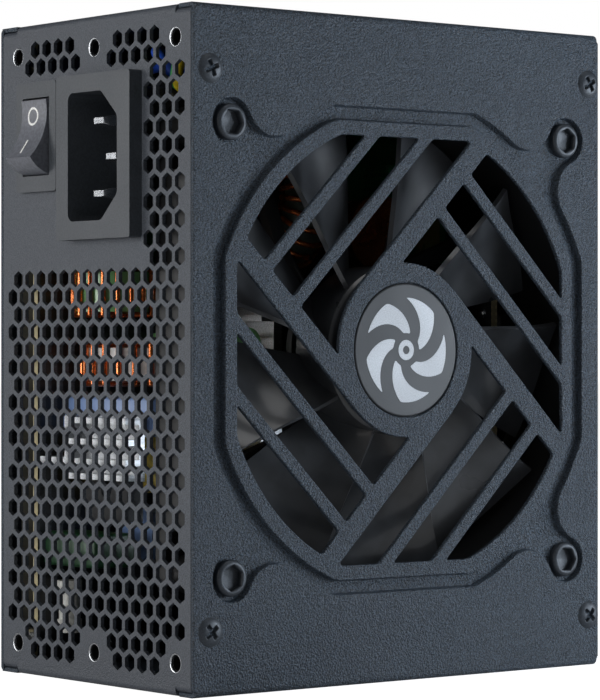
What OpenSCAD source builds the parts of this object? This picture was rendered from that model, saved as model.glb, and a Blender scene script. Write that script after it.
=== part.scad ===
// Small-form-factor computer power supply unit.
// Millimetres. The case stands on one end face: the rear panel faces -X, the fan faces -Y and
// the output sockets face +X. The origin is the middle of the end face that it stands on.

/* [Case] */
// Depth of the case, from the rear panel to the connector panel
case_depth = 100; // [98:0.5:110]
// Thickness of the case, from the fan cover to the base cover
case_thick = 63; // [62.5:0.1:64]
// Height of the case as it stands
case_height = 125; // [124:0.5:130]
// Thickness of the steel sheet
sheet = 0.8; // [0.7:0.05:1.0]
// Outside radius of the folded edges
fold_r = 1.2; // [1.0:0.1:1.6]
// Depth of the flanges that fold over the end walls
flange_depth = 5; // [4:0.1:5.4]

/* [Mounting holes] */
// Distance of the corner holes across the thickness
hole_span_y = 51.5; // [51.5:0.1:51.6]
// Distance of the corner holes along the height
hole_span_z = 113; // [112.5:0.1:113.4]
// Radius of the threaded bore, for a 6-32 screw
hole_r = 1.4; // [1.35:0.01:1.45]

/* [Vents] */
// Distance between vent centres in a row
vent_pitch = 3.91; // [3.8:0.01:4.0]
// Distance across the flats of a hexagonal vent
vent_flats = 3.0; // [2.6:0.05:3.2]

/* [Fan] */
// Side of the square fan frame
fan_side = 92; // [91.5:0.1:92.5]
// Depth of the fan frame
fan_depth = 15; // [14.5:0.1:15.2]
// Distance between the fan's screw holes
fan_screw_span = 82.5; // [82.3:0.1:82.7]
// Number of blades
blade_count = 9; // [7:1:11]
// Radius of the impeller over its blades
blade_r = 43.2; // [42:0.1:43.4]
// Radius of the impeller's hub
hub_r = 16; // [15:0.1:17]

/* [Grille] */
// Radius of the ring around the badge
grille_hub_r = 16.5; // [16.2:0.1:17]
// Width of the four thick arms
arm_width = 4.3; // [3.8:0.1:4.6]
// Width of the slender bars
bar_width = 2.5; // [2.2:0.1:2.8]
// Depth of the recess around the grille
recess_depth = 1.3; // [1.1:0.1:1.4]

/* [Switch] */
// Angle that the rocker turns between its two positions
rocker_travel = 36; // [34:1:40]
// Radius of the rocker's round ends about its pivot
rocker_r = 7.45; // [7.4:0.01:7.5]

/* [Hidden] */
$fn = 48;
xr = -case_depth / 2;              // outside of the rear panel
xf = case_depth / 2;               // outside of the connector panel
yf = -case_thick / 2;              // outside of the fan cover
yb = case_thick / 2;               // outside of the base cover
zm = case_height / 2;              // middle of the height
hole_y = -0.25;                    // middle line of the mounting holes
nut_rim_r = 1.82;                  // radius of a mounting nut where it shows
floor_y = yf + recess_depth;       // floor of the grille's recess
fan_y0 = floor_y + sheet;          // front of the fan frame
fan_y1 = fan_y0 + fan_depth;       // back of the fan frame
board_y = 23.2;                    // component side of the main board
board_t = 1.6;                     // thickness of every large board
row_pitch = vent_pitch * 0.8649;   // distance between vent rows
inlet_y = -3.65;                   // middle of the mains inlet
inlet_z = 98.5;
inlet_proud = 2.8;                 // height of the inlet's flange
switch_y = 17.55;                  // middle of the rocker
pivot_x = xr + 0.9;                // rocker's axis
pivot_z = 103.2;
rocker_w = 8.4;                    // width of the rocker
bezel_proud = 1.2;                 // height of the switch's bezel
lever_x = -40.4;                   // fulcrum of the contact lever
lever_tilt = 8;                    // tilt of the contact lever at rest
terminal_z = [-5.5, 0, 5.5];       // places of the switch's blades about the pivot
conn_x = 39.4;                     // inner face of the connector board
cell = 4.2;                        // pitch of the output sockets' cells
shaft_r = 1.5;                     // radius of the fan shaft
bore_gap = 0.03;                   // radial clearance of running fits

// ---------- helpers ----------

// A block between two corners
module block(a, b) {
    translate(a) cube(b - a);
}

// A flat outline drawn in X and Z, thickened between two Y values
module slab_y(y0, y1) {
    translate([0, y1, 0]) rotate([90, 0, 0]) linear_extrude(y1 - y0) children();
}

// A flat outline drawn in Y and Z, thickened between two X values
module slab_x(x0, x1) {
    translate([x0, 0, 0]) rotate([90, 0, 90]) linear_extrude(x1 - x0) children();
}

// Round rods along each axis
module rod_x(y, z, r, x0, x1) {
    translate([x0, y, z]) rotate([0, 90, 0]) cylinder(r = r, h = x1 - x0);
}
module rod_y(x, z, r, y0, y1) {
    translate([x, y0, z]) rotate([-90, 0, 0]) cylinder(r = r, h = y1 - y0);
}
module rod_z(x, y, r, z0, z1) {
    translate([x, y, z0]) cylinder(r = r, h = z1 - z0);
}

// A rectangle with round corners between two corners
module round_rect(a, b, r) {
    translate(a + [r, r]) offset(r) square(b - a - [2 * r, 2 * r]);
}

// A straight rod between two points in space
module strut(a, b, r) {
    d = b - a;
    translate(a) rotate([0, acos(d[2] / norm(d)), atan2(d[1], d[0])]) cylinder(r = r, h = norm(d), $fn = 16);
}

// A wire along its corner points
module wire(points, r) {
    for (i = [0 : len(points) - 2]) strut(points[i], points[i + 1], r);
    for (i = [1 : len(points) - 2]) translate(points[i]) sphere(r = r * 1.02, $fn = 16);
}

// Places its children at the four corners of a rectangle drawn in X and Z
module at_corners(dx, dz) {
    for (sx = [-1, 1], sz = [-1, 1]) translate([sx * dx, 0, zm + sz * dz]) children();
}

// A ring core with its axis along Z, and the wire turns that go around it
module ring_core(ring_r, r) {
    rotate_extrude() translate([ring_r, 0]) circle(r);
}
module ring_turns(ring_r, r, wire_r, count, gap_angle) {
    for (side = [0, 1], i = [0 : count - 1])
        rotate(side * 180 + gap_angle / 2 + i * (180 - gap_angle) / (count - 1))
            translate([ring_r, 0, 0]) rotate([90, 0, 0])
                rotate_extrude() translate([r + wire_r + 0.05, 0]) circle(wire_r, $fn = 16);
}

// A flat ring core about Z, and the turns of wire around it at the given angles
module flat_core(r0, r1, h) difference() {
    cylinder(r = r1, h = h, center = true);
    cylinder(r = r0, h = h + 1, center = true);
}
module flat_turns(r0, r1, h, wire_r, count) {
    g = wire_r + 0.05;
    for (i = [0 : count - 1]) rotate(i * 360 / count) wire([
        [r0 - g, 0, 0], [r0 - g, 0, h / 2 + g], [r1 + g, 0, h / 2 + g],
        [r1 + g, 0, -h / 2 - g], [r0 - g, 0, -h / 2 - g], [r0 - g, 0, 0]
    ], wire_r);
}

// ---------- case ----------

// Outline of the lobed recess, about the fan's axis
module recess_outline() {
    offset(-6.5) offset(6.5) union() {
        intersection() {
            circle(48.7, $fn = 96);
            square(91, center = true);
        }
        for (sx = [-1, 1], sz = [-1, 1]) translate([sx, sz] * fan_screw_span / 2) circle(4.45);
    }
}

// Round opening with flattened sides, at a given size
module flattened_circle(r, flat) {
    intersection() {
        circle(r, $fn = 96);
        square(2 * flat, center = true);
    }
}

// Pinwheel of thick arms, slender bars and the hub
module pinwheel() {
    circle(grille_hub_r, $fn = 72);
    for (k = [0 : 3]) rotate(45 + 90 * k) {
        translate([0, grille_hub_r + 0.1 - arm_width]) square([50, arm_width]);
        for (offset_y = [23.6, 32.9]) translate([-12.4, offset_y]) square([60, bar_width]);
    }
}

// The air gaps of the grille, with rounded corners
module grille_gaps() {
    offset(0.7) offset(-0.7) difference() {
        flattened_circle(43, 40.1);
        pinwheel();
    }
}

// An outline that tapers along Y, from y0 to y1, about the fan's axis
module tapered_y(y0, y1, scale_end) {
    translate([0, y0, zm]) rotate([-90, 0, 0]) mirror([0, 1, 0])
        linear_extrude(y1 - y0, scale = scale_end) children();
}

// Places of the four screws that hold the fan cover, as X and Z
cover_screw_at = [
    [xr + 3.8, 113.2], [xr + 3.8, 11.8],
    [xf - 2.8, 115.2], [xf - 2.8, 10]
];

module fan_cover() color("#3f454d") difference() {
    union() {
        slab_y(yf, yf + sheet) round_rect([xr, 0], [xf, case_height], 1);
        translate([0, 0, zm]) slab_y(yf + 0.1, fan_y0) offset(0.5) recess_outline();
        for (z = [0, case_height - sheet])
            block([xr + 0.3, yf, z], [xf - 0.3, yf + flange_depth, z + sheet]);
    }
    difference() {
        tapered_y(yf - 0.01, floor_y, 0.978) recess_outline();
        tapered_y(yf - 0.02, floor_y + 0.01, 1.024) flattened_circle(46, 42.8);
    }
    translate([0, 0, zm]) slab_y(yf + sheet, fan_y0 + 1) flattened_circle(45.2, 42);
    translate([0, 0, zm]) slab_y(yf - 1, yf + 2) grille_gaps();
    rod_y(0, zm, 12.8, yf - 1, yf + 0.5);
    for (p = cover_screw_at) rod_y(p[0], p[1], 1.6, yf - 1, yf + 1);
    at_corners(fan_screw_span / 2, fan_screw_span / 2) {
        rod_y(0, 0, 3.5, yf - 1, floor_y);
        rod_y(0, 0, 2.2, yf - 1, fan_y0 + 1);
    }
}

module badge_disc() color("#2b2f35") translate([0, 0, zm]) difference() {
    rod_y(0, 0, 12.7, yf + 0.15, yf + 0.5);
    translate([0, yf + 0.15, 0]) rotate([-90, 0, 0]) rotate_extrude() {
        for (r = [4, 8]) translate([r, 0]) circle(0.15, $fn = 16);
    }
}

// Centre of every vent: rows run along Y, and each second row is half a pitch aside.
// Rows 0 and 34 skip the places of the mounting nuts; rows 22 to 32 leave room for the inlet.
function row_steps(k) = k % 2 == 0 ? [-7 : 7] : [-6.5 : 6.5];
function vent_here(k, j) =
    k == 0 || k == 34 ? abs(j) >= 2 && abs(j) <= 5 :
    k == 1 || k == 33 ? abs(j) >= 1.5 && abs(j) <= 5.5 :
    k <= 21 || j <= -4.5;
vents = [
    for (k = [0 : 34], j = row_steps(k)) if (vent_here(k, j))
        [j * vent_pitch, zm + (k - 17) * row_pitch]
];

// The six mounting places, as Y and Z
mounting_at = [
    for (j = [-1, 0, 1], side = [-1, 1])
        [hole_y + j * hole_span_y / 2, zm + side * hole_span_z / 2]
];

// The rear panel's folded edges: quarter bends that meet the end walls and the fan-side flange
module rear_panel() color("#4a515a") difference() {
    union() {
        block([xr, yf + sheet + 0.05, fold_r + 0.8],
            [xr + sheet, yb - sheet - 0.05, case_height - fold_r - 0.8]);
        rear_bends();
        return_flange([xr, xr + 3], [xr, xr + 8]);
    }
    for (v = vents) translate([xr - 1, v[0], v[1]]) rotate([0, 90, 0])
        cylinder(d = vent_flats / cos(30), h = 3, $fn = 6);
    for (m = mounting_at) rod_x(m[0], m[1], nut_rim_r + 0.02, xr - 1, xr + 1);
    for (i = [0, 1]) rod_y(cover_screw_at[i][0], cover_screw_at[i][1], 1.2, yf - 1, yf + 3);
    inlet_cutout();
    block([xr - 1, switch_y - 6.1, 93.9], [xr + 1, switch_y + 6.1, 112.8]);
}

// Flange under the fan cover's edge: a narrow strip with a wider tab at each screw
module return_flange(strip, tab) {
    y0 = yf + sheet + 0.05;
    block([strip[0], y0, 6], [strip[1], y0 + sheet, case_height - 6]);
    for (z = [6, case_height - 15.5]) block([tab[0], y0, z], [tab[1], y0 + sheet, z + 9.5]);
}

// Bends from the rear panel into each end wall, stepped in beside the cover flanges
module rear_bends() {
    wall_steps() {
        slab_y(yf + sheet + 0.05, yb - sheet - 0.05) intersection() {
            difference() {
                round_rect([xr, 0], [xr + 20, case_height], fold_r);
                round_rect([xr + sheet, sheet], [xr + 21, case_height - sheet], fold_r - sheet + 0.1);
            }
            translate([xr, 0]) square([2, case_height]);
        }
        slab_y(yf + sheet + 0.05, yb - sheet - 0.05) intersection() {
            difference() {
                round_rect([xr, sheet], [xr + 20, case_height - sheet], fold_r);
                round_rect([xr + sheet, 2 * sheet], [xr + 21, case_height - 2 * sheet], fold_r - sheet + 0.1);
            }
            translate([xr, 0]) square([2, case_height]);
        }
    }
}

// The middle band keeps the first child; the strips under the flanges keep the second
step_y0 = yf + flange_depth + 0.5;
step_y1 = yb - flange_depth - 0.8;
module wall_steps() {
    intersection() {
        children(0);
        block([xr, step_y0, 0], [xf, step_y1, case_height]);
    }
    intersection() {
        children(1);
        union() {
            block([xr, yf, 0], [xf, step_y0 + 0.4, case_height]);
            block([xr, step_y1 - 0.4, 0], [xf, yb, case_height]);
        }
    }
}

// One end wall, with its joggled edges; the outside is at z = 0
module end_wall() {
    x0 = xr + 2;
    x1 = xf - sheet - 0.05;
    difference() {
        union() {
            block([x0, step_y0, 0], [x1, step_y1, sheet]);
            block([x0, yf + sheet + 0.05, sheet], [x1, step_y0 + 0.4, 2 * sheet]);
            block([x0, step_y1 - 0.4, sheet], [x1, yb - sheet - 0.05, 2 * sheet]);
            block([x0 + 30, yb - 2 * sheet - 0.05, sheet], [x1 - 30, yb - sheet - 0.05, 8]);
        }
        for (x = [-9, 9]) rod_y(x, 5, 1.2, yb - 4, yb);
    }
}
module lower_wall() color("#3c424a") end_wall();
module upper_wall() color("#3c424a") translate([0, 0, case_height]) mirror([0, 0, 1]) end_wall();

module base_cover() color("#3f454d") difference() {
    union() {
        slab_y(yb - sheet, yb) round_rect([xr, 0], [xf, case_height], 1);
        for (z = [0, case_height - sheet])
            block([xr + 0.3, yb - flange_depth - 0.3, z], [xf - 0.3, yb, z + sheet]);
    }
    for (x = [-9, 9], z = [5, case_height - 5]) {
        rod_y(x, z, 1.6, yb - 2, yb + 1);
        translate([x, yb - sheet, z]) rotate([-90, 0, 0]) cylinder(r1 = 1.6, r2 = 2.7, h = sheet + 0.01);
    }
    for (p = stand_at) rod_y(p[0], p[1], 1.6, yb - 2, yb + 1);
}

module connector_panel() color("#4a515a") difference() {
    union() {
        block([xf - sheet, yf + sheet + 0.05, 1], [xf, yb - sheet - 0.05, case_height - 1]);
        return_flange([xf - 3, xf], [xf - 8, xf]);
    }
    main_socket_place() socket_outline(2, 12, 0.1);
    for (p = cable_socket_at) slab_x(xf - 2, xf + 1) translate([p[0], p[1]]) socket_outline(2, p[2], 0.1);
    for (i = [2, 3]) rod_y(cover_screw_at[i][0], cover_screw_at[i][1], 1.2, yf - 1, yf + 3);
}

// Clinch nuts pressed into the rear panel, with the screw thread's bore
module mounting_nuts() color("#c9ccd0") for (m = mounting_at) difference() {
    union() {
        rod_x(m[0], m[1], nut_rim_r, xr, xr + sheet);
        rod_x(m[0], m[1], 2.9, xr + sheet, xr + 2.6);
    }
    rod_x(m[0], m[1], hole_r, xr - 1, xr + 3);
    translate([xr - 0.01, m[0], m[1]]) rotate([0, 90, 0]) cylinder(r1 = hole_r + 0.15, r2 = hole_r, h = 0.15);
}

// A cross recess cut along Y into a screw head, from its top
module cross_recess(depth, span) {
    for (a = [0, 90]) rotate([0, a + 20, 0]) block([-span, 0, -0.35], [span, depth, 0.35]);
}

module cover_screws() color("#2e3238") for (p = cover_screw_at) translate([p[0], yf, p[1]]) difference() {
    union() {
        intersection() {
            translate([0, 5.1, 0]) sphere(5.75);
            rod_y(0, 0, 2.7, -0.65, 0);
        }
        rod_y(0, 0, 1.18, 0, 5);
    }
    translate([0, -0.7, 0]) cross_recess(0.9, 1.4);
}

module base_screws() color("#2e3238") for (x = [-9, 9], z = [5, case_height - 5])
    translate([x, yb, z]) difference() {
        union() {
            translate([0, -sheet, 0]) rotate([-90, 0, 0]) cylinder(r1 = 1.5, r2 = 2.6, h = sheet);
            rod_y(0, 0, 1.18, -5, -sheet);
        }
        translate([0, -0.5, 0]) cross_recess(0.6, 1.2);
    }

// ---------- fan ----------

module fan_screws() color("#30343a") at_corners(fan_screw_span / 2, fan_screw_span / 2) {
    difference() {
        union() {
            rod_y(0, 0, 3.35, floor_y - 1.75, floor_y);
            rod_y(0, 0, 1.9, floor_y, floor_y + 7);
        }
        translate([0, floor_y - 1.8, 0]) rotate([-90, 0, 0]) cylinder(d = 4.3, h = 1.3, $fn = 6);
    }
}

module fan_frame() color("#23262a") difference() {
    union() {
        difference() {
            translate([0, 0, zm]) slab_y(fan_y0, fan_y1)
                round_rect([-fan_side / 2, -fan_side / 2], [fan_side / 2, fan_side / 2], 4);
            rod_y(0, zm, blade_r + 0.9, fan_y0 - 1, fan_y1 + 1);
            at_corners(fan_side / 2, fan_side / 2) rod_y(0, 0, 13, fan_y0 + 3, fan_y1 - 3);
        }
        at_corners(fan_screw_span / 2, fan_screw_span / 2) rod_y(0, 0, 3.6, fan_y0, fan_y1);
        rod_y(0, zm, 15.5, fan_y1 - 1.6, fan_y1);
        rod_y(0, zm, 3.6, fan_y0 + 5.8, fan_y1);
        translate([0, 0, zm]) slab_y(fan_y1 - 2.4, fan_y1) for (k = [0 : 3]) rotate(20 + 90 * k)
            translate([0, 9]) square([blade_r + 2, 3]);
    }
    at_corners(fan_screw_span / 2, fan_screw_span / 2) rod_y(0, 0, 1.9, fan_y0 - 1, fan_y0 + 8);
    at_corners(fan_screw_span / 2, fan_screw_span / 2) rod_y(0, 0, 2.15, fan_y0 + 8, fan_y1 + 1);
    rod_y(0, zm, 2.6, fan_y0 + 5, fan_y1 - 0.8);
}

// One blade's section seen along the fan's axis: a thin band swept forward with the radius
function sweep_angle(r) = 14 - 0.55 * (r - hub_r) + 0.0112 * pow(r - hub_r, 2);
module blade_band(width) {
    steps = 8;
    radii = [for (i = [0 : steps]) hub_r - 0.6 + i * (blade_r - hub_r + 0.6) / steps];
    polygon(concat(
        [for (r = radii) r * [cos(sweep_angle(r)), sin(sweep_angle(r))]],
        [for (i = [steps : -1 : 0])
            let (r = radii[i], a = sweep_angle(r) - width / r * 57.3) r * [cos(a), sin(a)]]
    ));
}

module impeller() color("#2a2d31") translate([0, 0, zm]) {
    difference() {
        union() {
            rod_y(0, 0, hub_r, fan_y0 + 1.2, fan_y0 + 11.5);
            translate([0, fan_y0 + 11, 0]) rotate([90, 0, 0]) for (k = [0 : blade_count - 1])
                rotate(k * 360 / blade_count) linear_extrude(9, twist = -26, slices = 6) blade_band(1.6);
        }
        rod_y(0, 0, hub_r - 1.3, fan_y0 + 2.6, fan_y0 + 12);
        rod_y(0, 0, shaft_r, fan_y0 + 1.6, fan_y0 + 12);
    }
    difference() {
        rod_y(0, 0, 3.0, fan_y0 + 2.6, fan_y0 + 4.6);
        rod_y(0, 0, shaft_r, fan_y0 + 2, fan_y0 + 5);
    }
}

// A short tube along Y about the fan's axis
module hub_tube(r0, r1, y0, y1) {
    difference() {
        rod_y(0, zm, r1, fan_y0 + y0, fan_y0 + y1);
        rod_y(0, zm, r0, fan_y0 + y0 - 1, fan_y0 + y1 + 1);
    }
}
module rotor_yoke() color("#9aa0a6") hub_tube(hub_r - 2, hub_r - 1.3, 2.6, 11.4);
module rotor_magnet() color("#4b4744") hub_tube(hub_r - 3.2, hub_r - 2, 3.4, 11.0);
module fan_shaft() color("#d5d8db") rod_y(0, zm, shaft_r, fan_y0 + 1.6, fan_y0 + 13.4);
module bearing_sleeve() color("#b08d57") hub_tube(shaft_r + bore_gap, 2.6, 6, 13.2);
module fan_circuit_board() color("#1f5a33") hub_tube(3.7, 12.2, 11.2, 12.4);

module fan_stator() color("#8d9196") difference() {
    union() {
        rod_y(0, zm, 5.6, fan_y0 + 6, fan_y0 + 9.6);
        for (k = [0 : 3]) translate([0, 0, zm]) rotate([0, 90 * k, 0]) {
            block([0, fan_y0 + 6, -1.2], [11.4, fan_y0 + 9.6, 1.2]);
            intersection() {
                difference() {
                    rod_y(0, 0, 12.4, fan_y0 + 6, fan_y0 + 9.6);
                    rod_y(0, 0, 11, fan_y0 + 5, fan_y0 + 10);
                }
                block([6, fan_y0 + 5, -7.5], [14, fan_y0 + 10, 7.5]);
            }
        }
    }
    rod_y(0, zm, 3.7, fan_y0 + 5, fan_y0 + 11);
}

module fan_windings() color("#b8672e") for (k = [0 : 3]) translate([0, 0, zm]) rotate([0, 90 * k, 0])
    difference() {
        block([6, fan_y0 + 4.9, -2.6], [10, fan_y0 + 10.7, 2.6]);
        block([5, fan_y0 + 6, -1.2], [11, fan_y0 + 9.6, 1.2]);
    }

module fan_lead() color("#1a1b1d") for (i = [0, 1]) {
    dx = 1.5 * i;
    wire([
        [-8 + dx, fan_y1 + 0.8, zm + 8], [-20 + dx, fan_y1 + 0.8, zm + 22],
        [-27 + dx, fan_y1 + 6, zm + 27], [-27 + dx, board_y, zm + 27]
    ], 0.65);
}

// ---------- mains inlet and switch ----------

// Outline of the inlet's cavity: a rectangle with two corners cut off towards the fan
module inlet_outline(grow) {
    offset(grow + 1.6) offset(-1.6) polygon([
        [inlet_y + 8, inlet_z - 12], [inlet_y + 8, inlet_z + 12],
        [inlet_y - 2.8, inlet_z + 12], [inlet_y - 8, inlet_z + 7.2],
        [inlet_y - 8, inlet_z - 7.2], [inlet_y - 2.8, inlet_z - 12]
    ]);
}
module inlet_cutout() {
    slab_x(xr - 1, xr + 1) inlet_outline(1.5);
}

inlet_pin_at = [[inlet_y + 2, inlet_z + 6.8], [inlet_y + 2, inlet_z - 6.8], [inlet_y - 2, inlet_z]];

module inlet_body() color("#3b3f45") difference() {
    union() {
        slab_x(xr - inlet_proud, xr) round_rect(
            [inlet_y - 11.95, inlet_z - 15.4], [inlet_y + 11.95, inlet_z + 15.3], 0.6);
        slab_x(xr, xr + 15.5) inlet_outline(1.4);
    }
    slab_x(xr - inlet_proud - 1, xr + 13.5) inlet_outline(0);
    for (p = inlet_pin_at) block([xr + 12, p[0] - 2, p[1] - 1], [xr + 17, p[0] + 2, p[1] + 1]);
}

module inlet_pins() color("#cfd3d6") for (p = inlet_pin_at) {
    block([xr + 1.1, p[0] - 2, p[1] - 1], [xr + 19, p[0] + 2, p[1] + 1]);
    block([xr + 0.3, p[0] - 1.7, p[1] - 0.55], [xr + 1.1, p[0] + 1.7, p[1] + 0.55]);
}

module switch_housing() color("#3b3f45") difference() {
    union() {
        slab_x(xr - bezel_proud, xr) round_rect([switch_y - 6.75, 92.7], [switch_y + 6.75, 113.6], 0.6);
        block([xr, switch_y - 6, 94.05], [xr + 13.7, switch_y + 6, 112.65]);
    }
    rod_y(pivot_x, pivot_z, rocker_r + 0.3, switch_y - rocker_w / 2 - 0.3, switch_y + rocker_w / 2 + 0.3);
    block([lever_x - 2.5, switch_y - 4.9, pivot_z - 6.5], [lever_x + 3, switch_y + 4.9, pivot_z + 6.5]);
    rod_y(pivot_x, pivot_z, 1.2 + bore_gap, switch_y - 5.6, switch_y + 5.6);
    for (z = terminal_z) block([lever_x + 2, switch_y - 2.4, pivot_z + z - 0.4],
        [xr + 15.2, switch_y + 2.4, pivot_z + z + 0.4]);
}

// The rocker is a round-ended block with a scooped face, tilted so that its lower end stands out
module switch_rocker() color("#3f434a") {
    translate([pivot_x, switch_y, pivot_z]) rotate([0, rocker_travel / 2, 0]) {
        difference() {
            rod_y(0, 0, rocker_r, -rocker_w / 2, rocker_w / 2);
            rod_y(-15.17, 0, 12, -rocker_w, rocker_w);
            block([2.4, -rocker_w, -10], [10, rocker_w, 10]);
            rod_x(0, 0, 1.3, 0.8, 4);
        }
        difference() {
            rod_x(0, 0, 2.1, 2.4, 6.6);
            rod_x(0, 0, 1.3, 0.8, 8);
        }
        rod_y(0, 0, 1.2, -5.5, 5.5);
    }
}

// Spring and plunger tip inside the rocker's stem
module switch_spring() color("#c4c7ca") translate([pivot_x, switch_y, pivot_z])
    rotate([0, rocker_travel / 2, 0]) {
        rod_x(0, 0, 0.75, 1.3, 6.2);
        translate([6.7, 0, 0]) sphere(1.15, $fn = 32);
    }

module contact_lever() color("#b9853f") translate([lever_x, switch_y, pivot_z])
    rotate([0, -lever_tilt, 0]) {
        block([-0.25, -2.2, -5.6], [0.25, 2.2, 5.6]);
        rod_y(0.2, 0, 0.6, -2.2, 2.2);
        for (z = [-4.7, 4.7]) rod_x(0, z, 0.9, 0.2, 0.7);
    }

// Three blades through the housing's back; the outer two end in a fixed contact, the middle one
// in the post that the lever rocks on
module switch_terminals() color("#cfd3d6") for (z = terminal_z) {
    block([lever_x + 3, switch_y - 2.4, pivot_z + z - 0.4], [xr + 19.7, switch_y + 2.4, pivot_z + z + 0.4]);
    if (z == 0) block([lever_x + 1.2, switch_y - 1.2, pivot_z - 0.3],
        [lever_x + 3, switch_y + 1.2, pivot_z + 0.3]);
    else rod_x(switch_y, pivot_z + z * 0.86, 1.0, lever_x + 1.85, lever_x + 3);
}

// Supply leads from the inlet and the switch to the board, and the earth lead to the upper wall.
// Each starts with a short straight stretch off its pin.
module mains_wires() {
    pin_end = xr + 19;
    live = inlet_pin_at[0];
    neutral = inlet_pin_at[1];
    earth = inlet_pin_at[2];
    color("#2f5fd0") wire([
        [pin_end, live[0], live[1]], [pin_end + 1.4, live[0], live[1]], [-29, -6, 110],
        [-33, -13, 115.4], [-42, -15.4, 113.4], [-44, -12, 117.4], [-36, -3, 118.4],
        [-27, 8, 118], [-26, board_y - 3, 117], [-26, board_y, 117]
    ], 1.1);
    color("#e3c52b") wire([
        [pin_end, earth[0], earth[1]], [pin_end + 1.5, earth[0], earth[1]], [-28.6, -9.4, 105],
        [-29, -15.4, 112.2], [-38, -18.6, 111.6], [-45, -20, 111.2], [-45.4, -21.6, 116.6],
        [-39, -17.4, 120], [-29, -8, 121], [-24, -4, case_height - sheet - 1.3]
    ], 1.25);
    color("#6b4a2f") wire([
        [pin_end, neutral[0], neutral[1]], [pin_end + 1.4, neutral[0], neutral[1]],
        [-29.6, 6, 88.4], [-32, 15, 84], [-32, board_y, 84]
    ], 1.1);
}

// ---------- boards and their hardware ----------

stand_at = [for (x = [-26, 26], z = [18, case_height - 18]) [x, z]];

module insulating_sheet() color("#e8e2cf") difference() {
    slab_y(yb - sheet - 0.65, yb - sheet - 0.25) round_rect([xr + 4, 9], [38, case_height - 9], 2);
    for (p = stand_at) rod_y(p[0], p[1], 3.2, yb - 4, yb);
}

module main_board() color("#2a2c2b") difference() {
    block([xr + 3, board_y, 3], [conn_x + board_t, board_y + board_t, case_height - 3]);
    block([xr - 1, board_y - 1, 91], [-30, board_y + 3, 115]);
    for (p = stand_at) rod_y(p[0], p[1], 1.6, board_y - 1, board_y + 3);
}

module standoffs() color("#c9a64a") for (p = stand_at) difference() {
    rod_y(p[0], p[1], 2.8, board_y + board_t, yb - sheet);
    rod_y(p[0], p[1], 1.25, board_y, yb);
}

module board_screws() color("#c9ccd0") for (p = stand_at) {
    rod_y(p[0], p[1], 2.7, board_y - 1.8, board_y);
    rod_y(p[0], p[1], 1.25, board_y, board_y + board_t + 2);
    rod_y(p[0], p[1], 1.25, yb - sheet - 2, yb);
}

// ---------- mains filter ----------

// Two chokes that lie flat behind the rear vents: their ring axes are along Z
line_choke_at = [-37.4, 11.3, 73.6];
module line_choke_core() color("#2f8f3f") translate(line_choke_at) flat_core(3.6, 7.3, 7.6);
module line_choke_winding() color("#c26a33") translate(line_choke_at) flat_turns(3.6, 7.3, 7.6, 0.5, 18);

filter_choke_at = [-33, 7.2, 59.8];
module filter_choke_core() color("#d9dadb") translate(filter_choke_at) flat_core(6.4, 11.4, 6.2);
module filter_choke_winding() color("#c26a33") translate(filter_choke_at)
    flat_turns(6.4, 11.4, 6.2, 0.55, 24);

// Box-shaped film capacitors: two across the line and one small one by the rear vents
module film_capacitors() {
    color("#d9b93a") block([-33, 8, 35], [-21, board_y, 50]);
    color("#2f5fc8") block([-41, -5.4, 46.2], [-35, board_y, 53.6]);
    color("#3f8f5a") block([-45.5, 6, 21], [-36, board_y, 27.5]);
}

module mains_fuse() color("#d9dcd6") {
    rod_z(-42, 19.6, 2.4, 8, 10.5);
    rod_z(-42, 19.6, 2.1, 10.5, 15.5);
    rod_z(-42, 19.6, 2.4, 15.5, 18);
    for (z = [9, 17]) block([-42.4, 21, z - 0.4], [-41.6, board_y, z + 0.4]);
}

module varistor() color("#3f62b0") {
    rod_x(13, 27, 5.4, -31, -27.6);
    for (z = [24.2, 29]) block([-29.7, 17, z], [-28.9, board_y, z + 0.8]);
}

// Disc on tall leads, in front of the filter choke
module inrush_thermistor() color("#3f8f3a") {
    rod_y(-20.8, 63.8, 3, -9.5, -6.5);
    for (z = [62, 65]) block([-19.9, -6.5, z], [-19.1, board_y, z + 0.8]);
}

module bypass_relay() color("#24272b") block([-20, 8, 112], [-4, board_y, 118.5]);

module bridge_rectifier() color("#1e2023") difference() {
    block([-42.2, 0, 30], [-38.6, 14, 45.5]);
    rod_x(7, 36, 1.7, -43, -38);
}

// Plate with level fins behind the rear vents; one fin runs on to the board, and the rectifier
// is clamped to the back
module rectifier_heatsink() color("#d3d6d8") {
    block([-43.4, -5.6, 37.9], [-42.2, 14.6, 50]);
    block([-46.6, 13.4, 37.9], [-43.4, 14.6, 50]);
    block([-46.6, 14.6, 40.4], [-42.2, board_y, 42]);
    for (z = [38, 40.8, 44.6, 48.6]) block([-46.6, -5.6, z], [-43.4, 13.4, z + 1.1]);
}

// ---------- power conversion ----------

boost_choke_at = [-3, 5, 93];
module boost_choke_core() color("#4f5a50") translate(boost_choke_at) rotate([0, 90, 0]) ring_core(10.6, 4.6);
module boost_choke_winding() color("#c8743a") translate(boost_choke_at) rotate([0, 90, 0])
    ring_turns(10.6, 4.6, 0.55, 14, 30);

module bulk_capacitor() color("#23262b") difference() {
    union() {
        rod_y(-8, 24, 14, -11, board_y);
        rod_y(-8, 24, 12.6, -11.8, -11);
    }
    translate([-8, -11.8, 24]) for (a = [0, 60, 120]) rotate([0, a, 0]) block([-9, -0.1, -0.2],
        [9, 0.3, 0.2]);
}

module primary_heatsink() color("#b9bdc0") {
    block([-13.5, -8, 42], [-11.5, board_y, 78]);
    for (i = [0 : 4]) block([-16.5, -8, 44 + 8 * i], [-13.5, 14, 45.2 + 8 * i]);
}

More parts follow.
